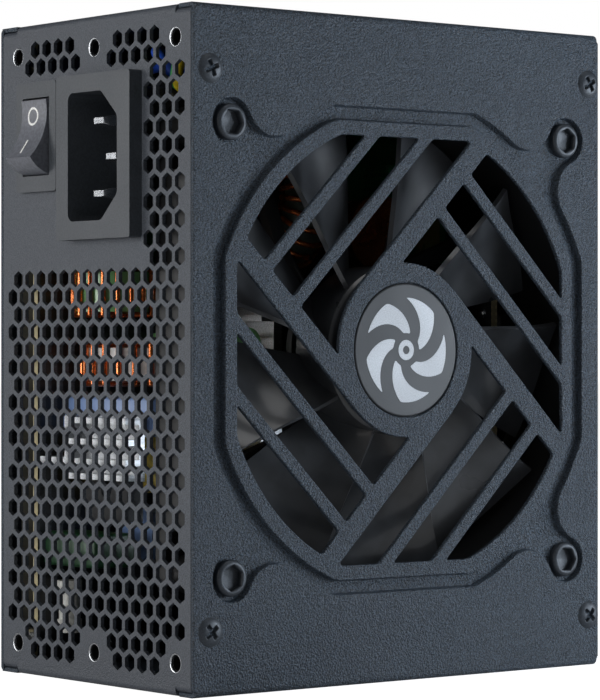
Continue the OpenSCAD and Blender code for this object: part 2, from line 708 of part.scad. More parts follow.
module primary_transistors() color("#1e2023") for (z = [46, 58, 70]) {
    block([-11.5, 2, z], [-7, 17, z + 6]);
    for (dz = [0.6, 2.6, 4.6]) block([-9.6, 17, z + dz], [-8.8, board_y, z + dz + 0.8]);
}

// Two E-shaped halves around a wound bobbin
module transformer_core() color("#3a3c3f") difference() {
    block([2, -8, 46], [32, board_y - 2, 74]);
    block([6.5, -9, 50.5], [27.5, board_y, 69.5]);
}
module transformer_winding() color("#e0c34c") block([7.2, -10, 51], [26.8, board_y, 69]);

module standby_transformer() color("#d9cf9a") {
    block([8.5, 8, 12], [21.5, board_y, 26]);
    block([7, 9, 16], [23, board_y - 3, 22]);
}

module resonant_choke() color("#b26a35") {
    rod_y(22, 86, 7, 4, board_y);
    rod_y(22, 86, 7.8, 2.6, 4);
}

module controller_board() {
    color("#2b6b45") block([-27.1, 4, 76], [-25.9, board_y, 88]);
    color("#1e2023") block([-25.9, 9, 79], [-24.7, 15, 85]);
}

module output_capacitors() color("#aeb4ba") for (x = [12, 21, 30], z = [31.5, 40.5])
    rod_y(x, z, 3.9, 9, board_y);

module converter_board() {
    color("#2b6b45") block([30.4, -6, 80], [32, board_y, 116]);
    color("#1e2023") for (z = [84, 92, 100]) block([32, 2, z], [33.4, 8, z + 5]);
    color("#5d6166") for (z = [83, 98]) block([25.4, 4, z + 12], [30.4, 12, z + 17]);
}

// ---------- output sockets ----------

module connector_board() {
    color("#2a2c2b") block([conn_x, -11.5, 4], [conn_x + board_t, board_y, case_height - 4]);
}

// Outline of a socket of columns x rows, grown by g
module socket_outline(columns, rows, g) {
    square([columns * cell + 1.4 + 2 * g, rows * cell + 1.4 + 2 * g], center = true);
}

main_socket_yz = [17.5, zm];
module main_socket_place() {
    slab_x(xf - 2, xf + 1) translate(main_socket_yz) children();
}

// The smaller sockets: Y, Z and the number of rows of each
cable_socket_at = [
    [2.6, 23.5, 4], [2.6, 49.5, 4], [2.6, 75.5, 4], [2.6, 101.5, 4],
    [-7.6, 36.5, 3], [-7.6, 62.5, 3], [-7.6, 88.5, 3]
];

// A shrouded header with one square cell for each contact
module socket_shroud(columns, rows) difference() {
    slab_x(conn_x + board_t, xf) socket_outline(columns, rows, 0);
    slab_x(conn_x + board_t + 1.4, xf + 1) for (i = [0 : columns - 1], j = [0 : rows - 1])
        translate([i - (columns - 1) / 2, j - (rows - 1) / 2] * cell) square(3.6, center = true);
}
module main_socket() color("#1c1e21") translate([0, main_socket_yz[0], main_socket_yz[1]])
    socket_shroud(2, 12);
module cable_sockets() color("#1c1e21") for (p = cable_socket_at) translate([0, p[0], p[1]])
    socket_shroud(2, p[2]);

// Contact pins: one in the middle of every cell
module pin_field(columns, rows) {
    for (i = [0 : columns - 1], j = [0 : rows - 1])
        translate([0, (i - (columns - 1) / 2) * cell, (j - (rows - 1) / 2) * cell])
            block([conn_x + board_t + 1.4, -0.55, -0.55], [xf - 2.2, 0.55, 0.55]);
}
module socket_pins() color("#d2b55c") {
    translate([0, main_socket_yz[0], main_socket_yz[1]]) pin_field(2, 12);
    for (p = cable_socket_at) translate([0, p[0], p[1]]) pin_field(2, p[2]);
}

fan_cover();
rear_panel();
upper_wall();
lower_wall();
base_cover();
connector_panel();
mounting_nuts();
cover_screws();
base_screws();
badge_disc();
fan_screws();
fan_frame();
impeller();
rotor_yoke();
rotor_magnet();
fan_shaft();
bearing_sleeve();
fan_stator();
fan_windings();
fan_circuit_board();
fan_lead();
inlet_body();
inlet_pins();
switch_housing();
switch_rocker();
switch_spring();
contact_lever();
switch_terminals();
mains_wires();
insulating_sheet();
main_board();
standoffs();
board_screws();
line_choke_core();
line_choke_winding();
filter_choke_core();
filter_choke_winding();
film_capacitors();
mains_fuse();
varistor();
inrush_thermistor();
bypass_relay();
bridge_rectifier();
rectifier_heatsink();
boost_choke_core();
boost_choke_winding();
bulk_capacitor();
primary_heatsink();
primary_transistors();
transformer_core();
transformer_winding();
standby_transformer();
resonant_choke();
controller_board();
output_capacitors();
converter_board();
connector_board();
main_socket();
cable_sockets();
socket_pins();
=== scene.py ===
"""Looks of a small-form-factor computer power supply unit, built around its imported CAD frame.

The case, fan, mains inlet, switch, electronics and output sockets are each a class that holds its
sizes and builds and dresses its own meshes. All sizes are in millimetres until a mesh is written,
and all places are in the frame of the CAD model: the rear panel faces -X and the fan faces -Y.
"""

import logging
import math
from collections.abc import Callable, Iterable, Sequence
from dataclasses import dataclass
from enum import Enum

import bmesh
import bpy
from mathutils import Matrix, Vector
from mathutils.geometry import delaunay_2d_cdt


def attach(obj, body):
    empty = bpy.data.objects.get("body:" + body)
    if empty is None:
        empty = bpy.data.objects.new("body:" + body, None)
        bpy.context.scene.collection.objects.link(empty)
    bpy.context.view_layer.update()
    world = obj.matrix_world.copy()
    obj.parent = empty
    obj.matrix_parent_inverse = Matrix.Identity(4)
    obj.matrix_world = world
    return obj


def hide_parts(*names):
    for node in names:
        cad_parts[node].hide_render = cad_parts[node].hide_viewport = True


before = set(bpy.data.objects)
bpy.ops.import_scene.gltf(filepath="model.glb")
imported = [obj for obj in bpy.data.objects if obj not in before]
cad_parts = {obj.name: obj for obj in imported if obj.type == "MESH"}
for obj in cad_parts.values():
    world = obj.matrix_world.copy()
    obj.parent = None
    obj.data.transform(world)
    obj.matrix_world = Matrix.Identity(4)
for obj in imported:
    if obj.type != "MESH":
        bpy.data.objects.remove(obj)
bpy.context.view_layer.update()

LOG = logging.getLogger("power_supply")
MM = 0.001
TURN = 2 * math.pi
Point = tuple[float, float]
Loop = list[Point]
Place = Callable[[float, float, float], tuple[float, float, float]]


# ---------- colours and shader nodes ----------


def linear(hex_colour: str) -> tuple[float, float, float, float]:
    """Turns an sRGB hex colour into Blender's linear colour.

    Args:
        hex_colour: Six hex digits, such as "3b4149".

    Returns:
        Linear red, green, blue and an alpha of 1.
    """
    parts = [int(hex_colour[i:i + 2], 16) / 255 for i in (0, 2, 4)]
    red, green, blue = (c / 12.92 if c <= 0.04045 else ((c + 0.055) / 1.055) ** 2.4 for c in parts)
    return red, green, blue, 1.0


def add_node(tree: bpy.types.NodeTree, kind: str, settings: dict | None = None,
             links: dict | None = None) -> bpy.types.Node:
    """Adds one shader node with its settings and its incoming links.

    Args:
        tree: The material's node tree.
        kind: Blender's name for the node type.
        settings: Attribute names, or input names or numbers, with their values.
        links: Input names or numbers, each with the output socket that feeds it.

    Returns:
        The new node.
    """
    made = tree.nodes.new(kind)
    for key, value in (settings or {}).items():
        if isinstance(key, str) and hasattr(made, key):
            setattr(made, key, value)
        else:
            made.inputs[key].default_value = value
    for key, socket in (links or {}).items():
        tree.links.new(socket, made.inputs[key])
    return made


class Pattern(Enum):
    """Which relief a finish carries."""

    SMOOTH = "smooth"          # only the faint waviness of a moulded or rolled part
    POWDER_COAT = "powder"     # rounded pimples of a baked powder coat
    FINE_COAT = "fine_coat"    # a flatter, finer powder coat
    SPARK_GRAIN = "spark"      # matt grain of a spark-eroded mould
    BRUSHED = "brushed"        # parallel scratches
    SPUN = "spun"              # rings about the Y axis
    WOVEN = "woven"            # glass cloth under resin
    TAPE = "tape"              # overlapping turns of film


@dataclass(frozen=True)
class Finish:
    """One real surface finish and how it is turned into a shader.

    Attributes:
        name: Material name.
        colour: sRGB hex of the surface.
        second: sRGB hex that the colour varies towards, in patches.
        roughness: Mean roughness.
        metallic: 1 for bare metal, else 0.
        ior: Index of refraction of a coat or plastic; metals keep the default.
        pattern: Which relief the surface has.
        grain_mm: Size of one grain, thread or scratch.
        relief_mm: Height of the relief.
        patch_mm: Size of the colour patches.
        patchiness: How far the colour moves towards the second one.
        coat: Weight of a clear coat.
        speckle_and_relief_shade: How far the relief lightens and darkens the colour: grain tone, and partly
            painted light and shade on the relief.
    """

    name: str
    colour: str
    second: str
    roughness: float
    metallic: float = 0.0
    ior: float = 1.5
    pattern: Pattern = Pattern.SMOOTH
    grain_mm: float = 0.8
    relief_mm: float = 0.01
    patch_mm: float = 14.0
    patchiness: float = 0.35
    coat: float = 0.0
    speckle_and_relief_shade: float = 0.15

    def material(self) -> bpy.types.Material:
        """Returns the finish's material, made on first use."""
        made = bpy.data.materials.get(self.name)
        if made:
            return made
        made = bpy.data.materials.new(self.name)
        made.use_nodes = True
        made.diffuse_color = linear(self.colour)
        tree = made.node_tree
        tree.nodes.clear()
        where = add_node(tree, "ShaderNodeTexCoord").outputs["Object"]
        relief, grain = self._relief(tree, where)
        patches = add_node(tree, "ShaderNodeTexNoise", {"Scale": 1000 / self.patch_mm, "Detail": 4.0},
                           {"Vector": where})
        share = add_node(tree, "ShaderNodeMapRange", {1: 0.3, 2: 0.7, 3: 0.0, 4: self.patchiness},
                         {0: patches.outputs["Fac"]})
        colour = add_node(tree, "ShaderNodeMix", {"data_type": "RGBA", 6: linear(self.colour),
                                                  7: linear(self.second)}, {0: share.outputs[0]})
        # Tone that follows the fine relief: grain, and partly painted light and shade on the bumps.
        speckle_and_relief_shade = add_node(tree, "ShaderNodeMapRange", {1: 0.4, 2: 0.6, 3: 1 - self.speckle_and_relief_shade, 4: 1 + self.speckle_and_relief_shade},
                         {0: grain})
        tinted = add_node(tree, "ShaderNodeHueSaturation", {}, {"Color": colour.outputs[2],
                                                                "Value": speckle_and_relief_shade.outputs[0]})
        rough = add_node(tree, "ShaderNodeMapRange",
                         {1: 0.25, 2: 0.75, 3: max(0.04, self.roughness * 0.86), 4: self.roughness * 1.14},
                         {0: patches.outputs["Fac"]})
        bump = add_node(tree, "ShaderNodeBump", {"Strength": 1.0, "Distance": self.relief_mm * MM},
                        {"Height": relief})
        settings = {"Metallic": self.metallic, "Coat Weight": self.coat, "Coat Roughness": 0.12}
        if not self.metallic:
            settings["IOR"] = self.ior
        shader = add_node(tree, "ShaderNodeBsdfPrincipled", settings,
                          {"Base Color": tinted.outputs[0], "Roughness": rough.outputs[0],
                           "Normal": bump.outputs[0]})
        add_node(tree, "ShaderNodeOutputMaterial", {}, {"Surface": shader.outputs[0]})
        return made

    def _relief(self, tree: bpy.types.NodeTree, where: bpy.types.NodeSocket
                ) -> tuple[bpy.types.NodeSocket, bpy.types.NodeSocket]:
        """Builds the relief of the finish's pattern.

        Args:
            tree: The material's node tree.
            where: The object-space position.

        Returns:
            The height socket and the socket that flecks the colour.
        """
        scale = 1000 / self.grain_mm
        if self.pattern in (Pattern.POWDER_COAT, Pattern.FINE_COAT):
            warp = add_node(tree, "ShaderNodeTexNoise", {"Scale": scale * 0.7, "Detail": 1.0},
                            {"Vector": where})
            bent = add_node(tree, "ShaderNodeVectorMath", {"operation": "MULTIPLY_ADD",
                                                           1: (self.grain_mm * MM * 1.1,) * 3},
                            {0: warp.outputs["Color"], 2: where})
            cells = add_node(tree, "ShaderNodeTexVoronoi", {"feature": "SMOOTH_F1", "Scale": scale,
                                                            "Smoothness": 0.85}, {"Vector": bent.outputs[0]})
            fine = add_node(tree, "ShaderNodeTexNoise", {"Scale": scale * 1.6, "Detail": 3.0},
                            {"Vector": where})
            height = add_node(tree, "ShaderNodeMath", {"operation": "MULTIPLY_ADD", 1: -0.9},
                              {0: cells.outputs["Distance"], 2: fine.outputs["Fac"]})
            return height.outputs[0], fine.outputs["Fac"]
        if self.pattern is Pattern.BRUSHED:
            long_axis = add_node(tree, "ShaderNodeMapping", {"Scale": (0.06, 1.0, 1.0)}, {"Vector": where})
            lines = add_node(tree, "ShaderNodeTexNoise", {"Scale": scale, "Detail": 3.0},
                             {"Vector": long_axis.outputs[0]})
            return lines.outputs["Fac"], lines.outputs["Fac"]
        if self.pattern is Pattern.SPUN:
            centred = add_node(tree, "ShaderNodeMapping", {"Location": (0, 0, -SHAFT_Z * MM)},
                               {"Vector": where})
            rings = add_node(tree, "ShaderNodeTexWave", {"wave_type": "RINGS", "rings_direction": "Y",
                                                         "Scale": scale / TURN, "Distortion": 0.4,
                                                         "Detail": 2.0}, {"Vector": centred.outputs[0]})
            return rings.outputs["Fac"], rings.outputs["Fac"]
        if self.pattern in (Pattern.WOVEN, Pattern.TAPE):
            waves = [add_node(tree, "ShaderNodeTexWave", {"bands_direction": axis, "Scale": scale / TURN},
                              {"Vector": where})
                     for axis in (("X", "Z") if self.pattern is Pattern.WOVEN else ("Y", "Y"))]
            both = add_node(tree, "ShaderNodeMath", {"operation": "MULTIPLY"},
                            {0: waves[0].outputs["Fac"], 1: waves[1].outputs["Fac"]})
            return both.outputs[0], both.outputs[0]
        detail = 6.0 if self.pattern is Pattern.SPARK_GRAIN else 2.0
        noise = add_node(tree, "ShaderNodeTexNoise", {"Scale": scale, "Detail": detail}, {"Vector": where})
        return noise.outputs["Fac"], noise.outputs["Fac"]


SHAFT_Z = 62.5

# Baked polyester powder coat on steel: closed rounded pimples that catch small soft lights. Its strong tone
# that follows the relief is partly painted highlight and shade on the pimples.
CASE_COAT = Finish("textured_powder_coat", "303a45", "3a4651", 0.42, pattern=Pattern.POWDER_COAT,
                   grain_mm=0.43, relief_mm=0.3, patch_mm=38, patchiness=0.5, speckle_and_relief_shade=0.7)
# The same coat where it went on thinner: flatter, paler and more even.
PANEL_COAT = Finish("smooth_powder_coat", "42474f", "4a5058", 0.5, pattern=Pattern.FINE_COAT,
                    grain_mm=0.36, relief_mm=0.08, patch_mm=30, patchiness=0.5, speckle_and_relief_shade=0.28)
# Nickel on steel, left bare by the tap: bright, with fine turning marks.
NICKEL = Finish("nickel_plate", "c9ccd0", "b3b7bc", 0.24, metallic=1.0, pattern=Pattern.BRUSHED,
                grain_mm=0.12, relief_mm=0.006, patch_mm=3)
# Tapped steel of the nut bores, near-black: painted shade inside the holes.
BORE_STEEL_PAINTED_SHADE = Finish("bore_steel_painted_shade", "2c2d2f", "242526", 0.4, metallic=0.8, grain_mm=0.3, relief_mm=0.01)
# Black zinc on a rolled screw: dark metal with a satin sheen.
BLACK_ZINC = Finish("black_zinc", "31363c", "3c4249", 0.44, metallic=0.3, grain_mm=0.3, relief_mm=0.012,
                    patch_mm=2.4, patchiness=0.6)
# Dark anodised aluminium, spun: rings that spread the light round the disc.
BADGE_METAL = Finish("dark_anodised_aluminium", "15181c", "1a1d21", 0.5, metallic=0.1, pattern=Pattern.SPUN,
                     grain_mm=0.3, relief_mm=0.002, patch_mm=20, speckle_and_relief_shade=0.04)
# Pale bead-blasted aluminium for the sign on the badge.
PALE_METAL = Finish("blasted_aluminium", "aeb1b5", "b8bbbf", 0.45, metallic=0.1, pattern=Pattern.SPARK_GRAIN,
                    grain_mm=0.2, relief_mm=0.01, patch_mm=8)
# Glass-filled polyester fan blade: glossy skin with long soft reflections. Its colour is lifted well above the
# frame's near-black: painted sheen standing in for the broad highlights on the blades.
BLADE_PLASTIC_PAINTED_SHEEN = Finish("polyester_blade_painted_sheen", "3b3d40", "45474a", 0.3, ior=1.57, grain_mm=5, relief_mm=0.02,
                       patch_mm=25, coat=0.5)
# The same polyester in the fan frame, from a matter mould.
FRAME_PLASTIC = Finish("polyester_frame", "0e0f10", "131415", 0.5, ior=1.57, pattern=Pattern.SPARK_GRAIN,
                       grain_mm=0.4, relief_mm=0.02)
# Nylon inlet and switch body from a spark-eroded mould: even, slightly grainy and matt.
NYLON = Finish("moulded_nylon", "3b4046", "42474d", 0.47, ior=1.53, pattern=Pattern.SPARK_GRAIN,
               grain_mm=0.35, relief_mm=0.02, patch_mm=12)
# Polycarbonate rocker: smoother than its bezel, with a soft highlight along its edges.
ROCKER_PLASTIC = Finish("polycarbonate_rocker", "666971", "6e7179", 0.38, ior=1.58, grain_mm=0.6,
                        relief_mm=0.008, patch_mm=6)
# White pad-printed ink, a little raised.
WHITE_INK = Finish("white_ink", "f2f2f0", "e8e8e6", 0.5, grain_mm=0.3, relief_mm=0.006, patch_mm=2)
# Enamelled copper magnet wire: metal under a clear warm film.
COPPER_WIRE = Finish("enamelled_copper", "dd7a3c", "c9652f", 0.26, metallic=0.85, grain_mm=0.8,
                     relief_mm=0.01, patch_mm=5, coat=0.5)
# Ring cores are dipped in coloured epoxy, which pools at the edges.
GREEN_EPOXY = Finish("green_epoxy", "2f8a4c", "256f3c", 0.3, ior=1.55, grain_mm=2, relief_mm=0.02, patch_mm=5)
WHITE_EPOXY = Finish("white_epoxy", "e2e2e0", "d2d2cf", 0.34, ior=1.55, grain_mm=2, relief_mm=0.02, patch_mm=5)
GREY_EPOXY = Finish("grey_epoxy", "515b52", "454e46", 0.36, ior=1.55, grain_mm=2, relief_mm=0.02, patch_mm=5)
BLUE_EPOXY = Finish("blue_epoxy", "1746d2", "133cb4", 0.85, ior=1.4, grain_mm=2, relief_mm=0.02, patch_mm=5)
# Black solder mask over the laminate.
DARK_MASK = Finish("dark_solder_mask", "17191a", "1e2021", 0.34, ior=1.55, pattern=Pattern.WOVEN,
                   grain_mm=0.7, relief_mm=0.01, patch_mm=8)
# Glass cloth in cream epoxy resin, bare along the sawn edges.
LAMINATE = Finish("glass_epoxy_laminate", "d9cda4", "cbbd8e", 0.4, ior=1.55, pattern=Pattern.WOVEN,
                  grain_mm=0.7, relief_mm=0.012, patch_mm=12)
# Green solder mask over the laminate: glossy and slightly uneven.
SOLDER_MASK = Finish("green_solder_mask", "1f6b3c", "1a5a33", 0.28, ior=1.55, pattern=Pattern.WOVEN,
                     grain_mm=0.7, relief_mm=0.01, patch_mm=8)
# Sintered ferrite: a dull dark ceramic.
FERRITE = Finish("sintered_ferrite", "3b3d40", "46484b", 0.55, ior=1.8, pattern=Pattern.SPARK_GRAIN,
                 grain_mm=0.3, relief_mm=0.03)
# Yellow polyester film tape wound round a bobbin: glossy turns with fine edges.
FILM_TAPE = Finish("polyester_tape", "dfc04a", "cfae3a", 0.28, ior=1.6, pattern=Pattern.TAPE, grain_mm=4,
                   relief_mm=0.05, patch_mm=7)
# Extruded aluminium fins, bare: fine lines along the extrusion.
ALUMINIUM = Finish("extruded_aluminium", "d6d9dc", "c4c8cc", 0.36, metallic=1.0, pattern=Pattern.BRUSHED,
                   grain_mm=0.25, relief_mm=0.012, patch_mm=9)
# Rolled electrical steel, dull grey.
ROLLED_STEEL = Finish("rolled_steel", "8f949a", "7f848a", 0.36, metallic=1.0, pattern=Pattern.BRUSHED,
                      grain_mm=0.2, relief_mm=0.01)
# Sintered bronze sleeve, oil-dark.
BRONZE = Finish("sintered_bronze", "a9824a", "8f6c3a", 0.42, metallic=1.0, grain_mm=0.3, relief_mm=0.02)
# Yellow brass, stamped or turned.
BRASS = Finish("yellow_brass", "c9a552", "b89244", 0.3, metallic=1.0, pattern=Pattern.BRUSHED,
               grain_mm=0.2, relief_mm=0.008)
# Epoxy moulding compound of chips, relays and sockets: black and matt.
BLACK_MOULDING = Finish("black_moulding", "1b1d20", "232629", 0.5, ior=1.55, pattern=Pattern.SPARK_GRAIN,
                        grain_mm=0.3, relief_mm=0.02)
# Shrunk vinyl sleeve of the big capacitor: dark with a broad gloss.
SHRINK_SLEEVE = Finish("shrink_sleeve", "22262c", "2a2f36", 0.28, ior=1.54, grain_mm=6, relief_mm=0.05)
# Polyester film and box mouldings.
CLEAR_FILM = Finish("polyester_film", "e6dfc8", "dcd4ba", 0.3, ior=1.6, grain_mm=8, relief_mm=0.03)
YELLOW_BOX = Finish("yellow_box_moulding", "dcbc3e", "cfae34", 0.35, ior=1.55, grain_mm=1, relief_mm=0.01)
GREEN_BOX = Finish("green_box_moulding", "22502f", "1c4327", 0.35, ior=1.55, grain_mm=1, relief_mm=0.01)
# Glazed white ceramic tube of the fuse.
FUSE_CERAMIC = Finish("white_ceramic", "dedfda", "d2d3cd", 0.3, ior=1.6, grain_mm=1, relief_mm=0.01)
# Vinyl lead covers.
BLUE_VINYL = Finish("blue_vinyl", "2b5bd6", "244dba", 0.38, ior=1.53, grain_mm=1.5, relief_mm=0.02)
EARTH_YELLOW = Finish("earth_yellow_vinyl", "e0c62c", "d2b824", 0.38, ior=1.53, grain_mm=1.5, relief_mm=0.02)
EARTH_GREEN = Finish("earth_green_vinyl", "2f8f46", "287a3b", 0.38, ior=1.53, grain_mm=1.5, relief_mm=0.02)
BROWN_VINYL = Finish("brown_vinyl", "6e4a2e", "5e3e26", 0.38, ior=1.53, grain_mm=1.5, relief_mm=0.02)
BLACK_VINYL = Finish("black_vinyl", "1c1d1f", "242628", 0.4, ior=1.53, grain_mm=1.5, relief_mm=0.02)
# Tin-lead solder: bright, rounded and slightly frosted.
SOLDER = Finish("solder", "d2d5d8", "babec2", 0.22, metallic=1.0, grain_mm=0.5, relief_mm=0.02, patch_mm=1.5)


# ---------- outlines ----------


def arc(centre: Point, radius: float, start: float, end: float, count: int) -> Loop:
    """Returns count + 1 points along an arc, with its angles in degrees."""
    return [(centre[0] + radius * math.cos(math.radians(start + (end - start) * i / count)),
             centre[1] + radius * math.sin(math.radians(start + (end - start) * i / count)))
            for i in range(count + 1)]


def circle(centre: Point, radius: float, count: int = 48) -> Loop:
    """Returns a closed circle, anticlockwise."""
    return arc(centre, radius, 0, 360 - 360 / count, count - 1)


def round_rectangle(low: Point, high: Point, radius: float, count: int = 5) -> Loop:
    """Returns a closed rectangle with round corners, anticlockwise."""
    corners = [((high[0] - radius, low[1] + radius), -90), ((high[0] - radius, high[1] - radius), 0),
               ((low[0] + radius, high[1] - radius), 90), ((low[0] + radius, low[1] + radius), 180)]
    return [p for centre, start in corners for p in arc(centre, radius, start, start + 90, count)]


def spaced(loop: Sequence[Point], spacing: float) -> Loop:
    """Splits the long stretches of a closed loop, so that no step is longer than spacing."""
    out: Loop = []
    for a, b in zip(loop, [*loop[1:], loop[0]]):
        steps = max(1, math.ceil(math.dist(a, b) / spacing))
        out += [(a[0] + (b[0] - a[0]) * i / steps, a[1] + (b[1] - a[1]) * i / steps) for i in range(steps)]
    return out


def turned(loop: Iterable[Point], degrees: float) -> Loop:
    """Returns the loop turned about the origin."""
    c, s = math.cos(math.radians(degrees)), math.sin(math.radians(degrees))
    return [(x * c - y * s, x * s + y * c) for x, y in loop]


def grown(loop: Sequence[Point], distance: float) -> Loop:
    """Moves each point of an anticlockwise loop outwards along its own normal.

    Args:
        loop: A closed loop with points close enough to each other to follow its curves.
        distance: How far to move, inwards when negative.

    Returns:
        The moved loop, point for point.
    """
    out: Loop = []
    count = len(loop)
    for i, (x, y) in enumerate(loop):
        (ax, ay), (bx, by) = loop[i - 1], loop[(i + 1) % count]
        before = Vector((x - ax, y - ay)).normalized()
        after = Vector((bx - x, by - y)).normalized()
        normal = Vector((before.y + after.y, -before.x - after.x))
        stretch = 2 * distance / max(normal.length_squared, 0.5)
        out.append((x + normal.x * stretch, y + normal.y * stretch))
    return out


def softened(loop: Sequence[Point], reach: float, least_turn: float = 25, steps: int = 5) -> Loop:
    """Rounds the sharp corners of a closed loop.

    Args:
        loop: The closed loop.
        reach: How far from the corner the rounding starts, on each side.
        least_turn: Corners that turn less than this many degrees are kept.
        steps: Points along each rounding.

    Returns:
        The loop with each sharp corner replaced by a smooth curve.
    """
    dense = spaced(loop, reach / 3)
    count = len(dense)

    def heading(i: int) -> float:
        (ax, ay), (bx, by) = dense[i % count], dense[(i + 1) % count]
        return math.atan2(by - ay, bx - ax)

    sharp = {i for i in range(count)
             if abs((heading(i) - heading(i - 1) + math.pi) % TURN - math.pi) > math.radians(least_turn)}
    out: Loop = []
    for i, point in enumerate(dense):
        if i in sharp:
            before, after = dense[(i - 3) % count], dense[(i + 3) % count]
            for k in range(1, steps):
                t = k / steps
                out.append(tuple((1 - t) ** 2 * before[a] + 2 * t * (1 - t) * point[a] + t * t * after[a]
                                 for a in (0, 1)))
        elif not any((i + d) % count in sharp for d in (-2, -1, 1, 2)):
            out.append(point)
    return out


# ---------- meshes ----------


def facing_fan(x: float, depth: float, z: float) -> tuple[float, float, float]:
    """Places a point of an outline on the fan side: depth runs from the fan cover into the case."""
    return x, FAN_PLANE + depth, z


def facing_rear(y: float, depth: float, z: float) -> tuple[float, float, float]:
    """Places a point of an outline on the rear panel: depth runs into the case."""
    return REAR_PLANE + depth, y, z


REAR_PLANE = -50.0
FAN_PLANE = -31.5


class MeshBuilder:
    """Collects faces in millimetres and turns them into one object.

    Attributes:
        place: Turns two outline coordinates and a depth into a point of the frame.
    """

    def __init__(self, place: Place = lambda a, depth, b: (a, depth, b)) -> None:
        """Starts an empty mesh."""
        self.bm = bmesh.new()
        self.place = place

    def ring(self, loop: Iterable[Point], depth: float) -> list[bmesh.types.BMVert]:
        """Adds the loop's points at one depth and returns their vertices."""
        return [self.bm.verts.new(Vector(self.place(a, depth, b)) * MM) for a, b in loop]

    def bridge(self, first: Sequence[bmesh.types.BMVert], second: Sequence[bmesh.types.BMVert],
               closed: bool = True) -> None:
        """Joins two rings of the same length with four-sided faces."""
        count = len(first)
        for i in range(count if closed else count - 1):
            j = (i + 1) % count
            self.bm.faces.new((first[i], first[j], second[j], second[i]))

    def stack(self, loops: Sequence[tuple[Sequence[Point], float]]) -> None:
        """Joins a row of loops, each with its depth, into one wall."""
        rings = [self.ring(loop, depth) for loop, depth in loops]
        for first, second in zip(rings, rings[1:]):
            self.bridge(first, second)

    def plane(self, loops: Sequence[Sequence[Point]], depth: float) -> None:
        """Fills the area inside an odd number of the closed loops, at one depth."""
        points = [Vector(p) for loop in loops for p in loop]
        edges, start = [], 0
        for loop in loops:
            count = len(loop)
            edges += [(start + i, start + (i + 1) % count) for i in range(count)]
            start += count
        flat, lines, faces, _, sources, _ = delaunay_2d_cdt(points, edges, [], 1, 1e-5)
        walls = {frozenset(line) for line, source in zip(lines, sources) if source}
        sides = [[frozenset((face[i - 1], face[i])) for i in range(len(face))] for face in faces]
        touching: dict[frozenset, list[int]] = {}
        for i, borders in enumerate(sides):
            for border in borders:
                touching.setdefault(border, []).append(i)
        inside = {users[0]: True for users in touching.values() if len(users) == 1}
        queue = list(inside)
        for i in queue:
            for border in sides[i]:
                for j in touching[border]:
                    if j not in inside:
                        inside[j] = inside[i] != (border in walls)
                        queue.append(j)
        verts = self.ring([tuple(p) for p in flat], depth)
        for i, face in enumerate(faces):
            if inside.get(i):
                self.bm.faces.new([verts[k] for k in face])

    def lathe(self, centre: Point, profile: Sequence[tuple[float, float]], count: int = 48) -> None:
        """Turns a profile of (radius, depth) pairs about the depth axis; radius 0 closes the shape."""
        previous: list[bmesh.types.BMVert] | None = None
        for radius, depth in profile:
            if radius < 1e-6:
                tip = self.bm.verts.new(Vector(self.place(centre[0], depth, centre[1])) * MM)
                for i in range(count if previous else 0):
                    self.bm.faces.new((previous[i], previous[(i + 1) % count], tip))
                previous = [tip] * count
                continue
            ring = self.ring(circle(centre, radius, count), depth)
            if previous and previous[0] is previous[1]:
                for i in range(count):
                    self.bm.faces.new((previous[0], ring[(i + 1) % count], ring[i]))
            elif previous:
                self.bridge(previous, ring)
            previous = ring

    def field(self, centre: Point, radii: Sequence[float], depth_at: Callable[[float, float], float],
              count: int) -> None:
        """Adds a round patch whose depth is a function of the place from its centre."""
        previous: list[bmesh.types.BMVert] = []
        for radius in radii:
            offsets = circle((0, 0), radius, count) if radius else [(0.0, 0.0)]
            ring = [self.bm.verts.new(Vector(self.place(centre[0] + dx, depth_at(dx, dz), centre[1] + dz)) * MM)
                    for dx, dz in offsets]
            if len(previous) == 1:
                for i in range(count):
                    self.bm.faces.new((previous[0], ring[(i + 1) % count], ring[i]))
            elif previous:
                self.bridge(previous, ring)
            previous = ring

    def tube(self, points: Sequence[tuple[float, float, float]], radius: float, sides: int = 16,
             steps: int = 10) -> None:
        """Adds a round lead that runs smoothly through a row of points."""
        stops = [Vector(p) for p in points]
        stops = [2 * stops[0] - stops[1], *stops, 2 * stops[-1] - stops[-2]]
        line = []
        for a, b, c, d in zip(stops, stops[1:], stops[2:], stops[3:]):
            line += [0.5 * (2 * b + (c - a) * t + (2 * a - 5 * b + 4 * c - d) * t ** 2
                            + (3 * b - a - 3 * c + d) * t ** 3) for t in (k / steps for k in range(steps))]
        line.append(stops[-2])
        side = Vector((0.3, 0.5, 0.8))
        previous: list[bmesh.types.BMVert] = []
        for i, point in enumerate(line):
            run = (line[min(i + 1, len(line) - 1)] - line[max(i - 1, 0)]).normalized()
            side = (side - run * side.dot(run)).normalized()
            other = run.cross(side)
            ring = [self.bm.verts.new((point + radius * (side * x + other * y)) * MM)
                    for x, y in circle((0, 0), 1, sides)]
            if previous:
                self.bridge(previous, ring)
            previous = ring

    def write(self, name: str, finish: Finish) -> bpy.types.Object:
        """Writes the mesh as an object with one finish, shaded smooth."""
        bmesh.ops.remove_doubles(self.bm, verts=self.bm.verts, dist=0.002 * MM)
        bmesh.ops.recalc_face_normals(self.bm, faces=self.bm.faces)
        mesh = bpy.data.meshes.new(name)
        self.bm.to_mesh(mesh)
        self.bm.free()
        for polygon in mesh.polygons:
            polygon.use_smooth = True
        mesh.materials.append(finish.material())
        made = bpy.data.objects.new(name, mesh)
        bpy.context.scene.collection.objects.link(made)
        return made

    def finish(self, name: str, finish: Finish, body: str = "case",
               smooth_angle: float = 35) -> bpy.types.Object:
        """Writes the mesh as an object that rides on a body.

        Args:
            name: Object name.
            finish: Its finish.
            body: The CAD body that it moves with.
            smooth_angle: Edges that fold by more than these degrees stay crisp.

        Returns:
            The new object.
        """
        made = self.write(name, finish)
        made.data.set_sharp_from_angle(angle=math.radians(smooth_angle))
        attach(made, body)
        return made


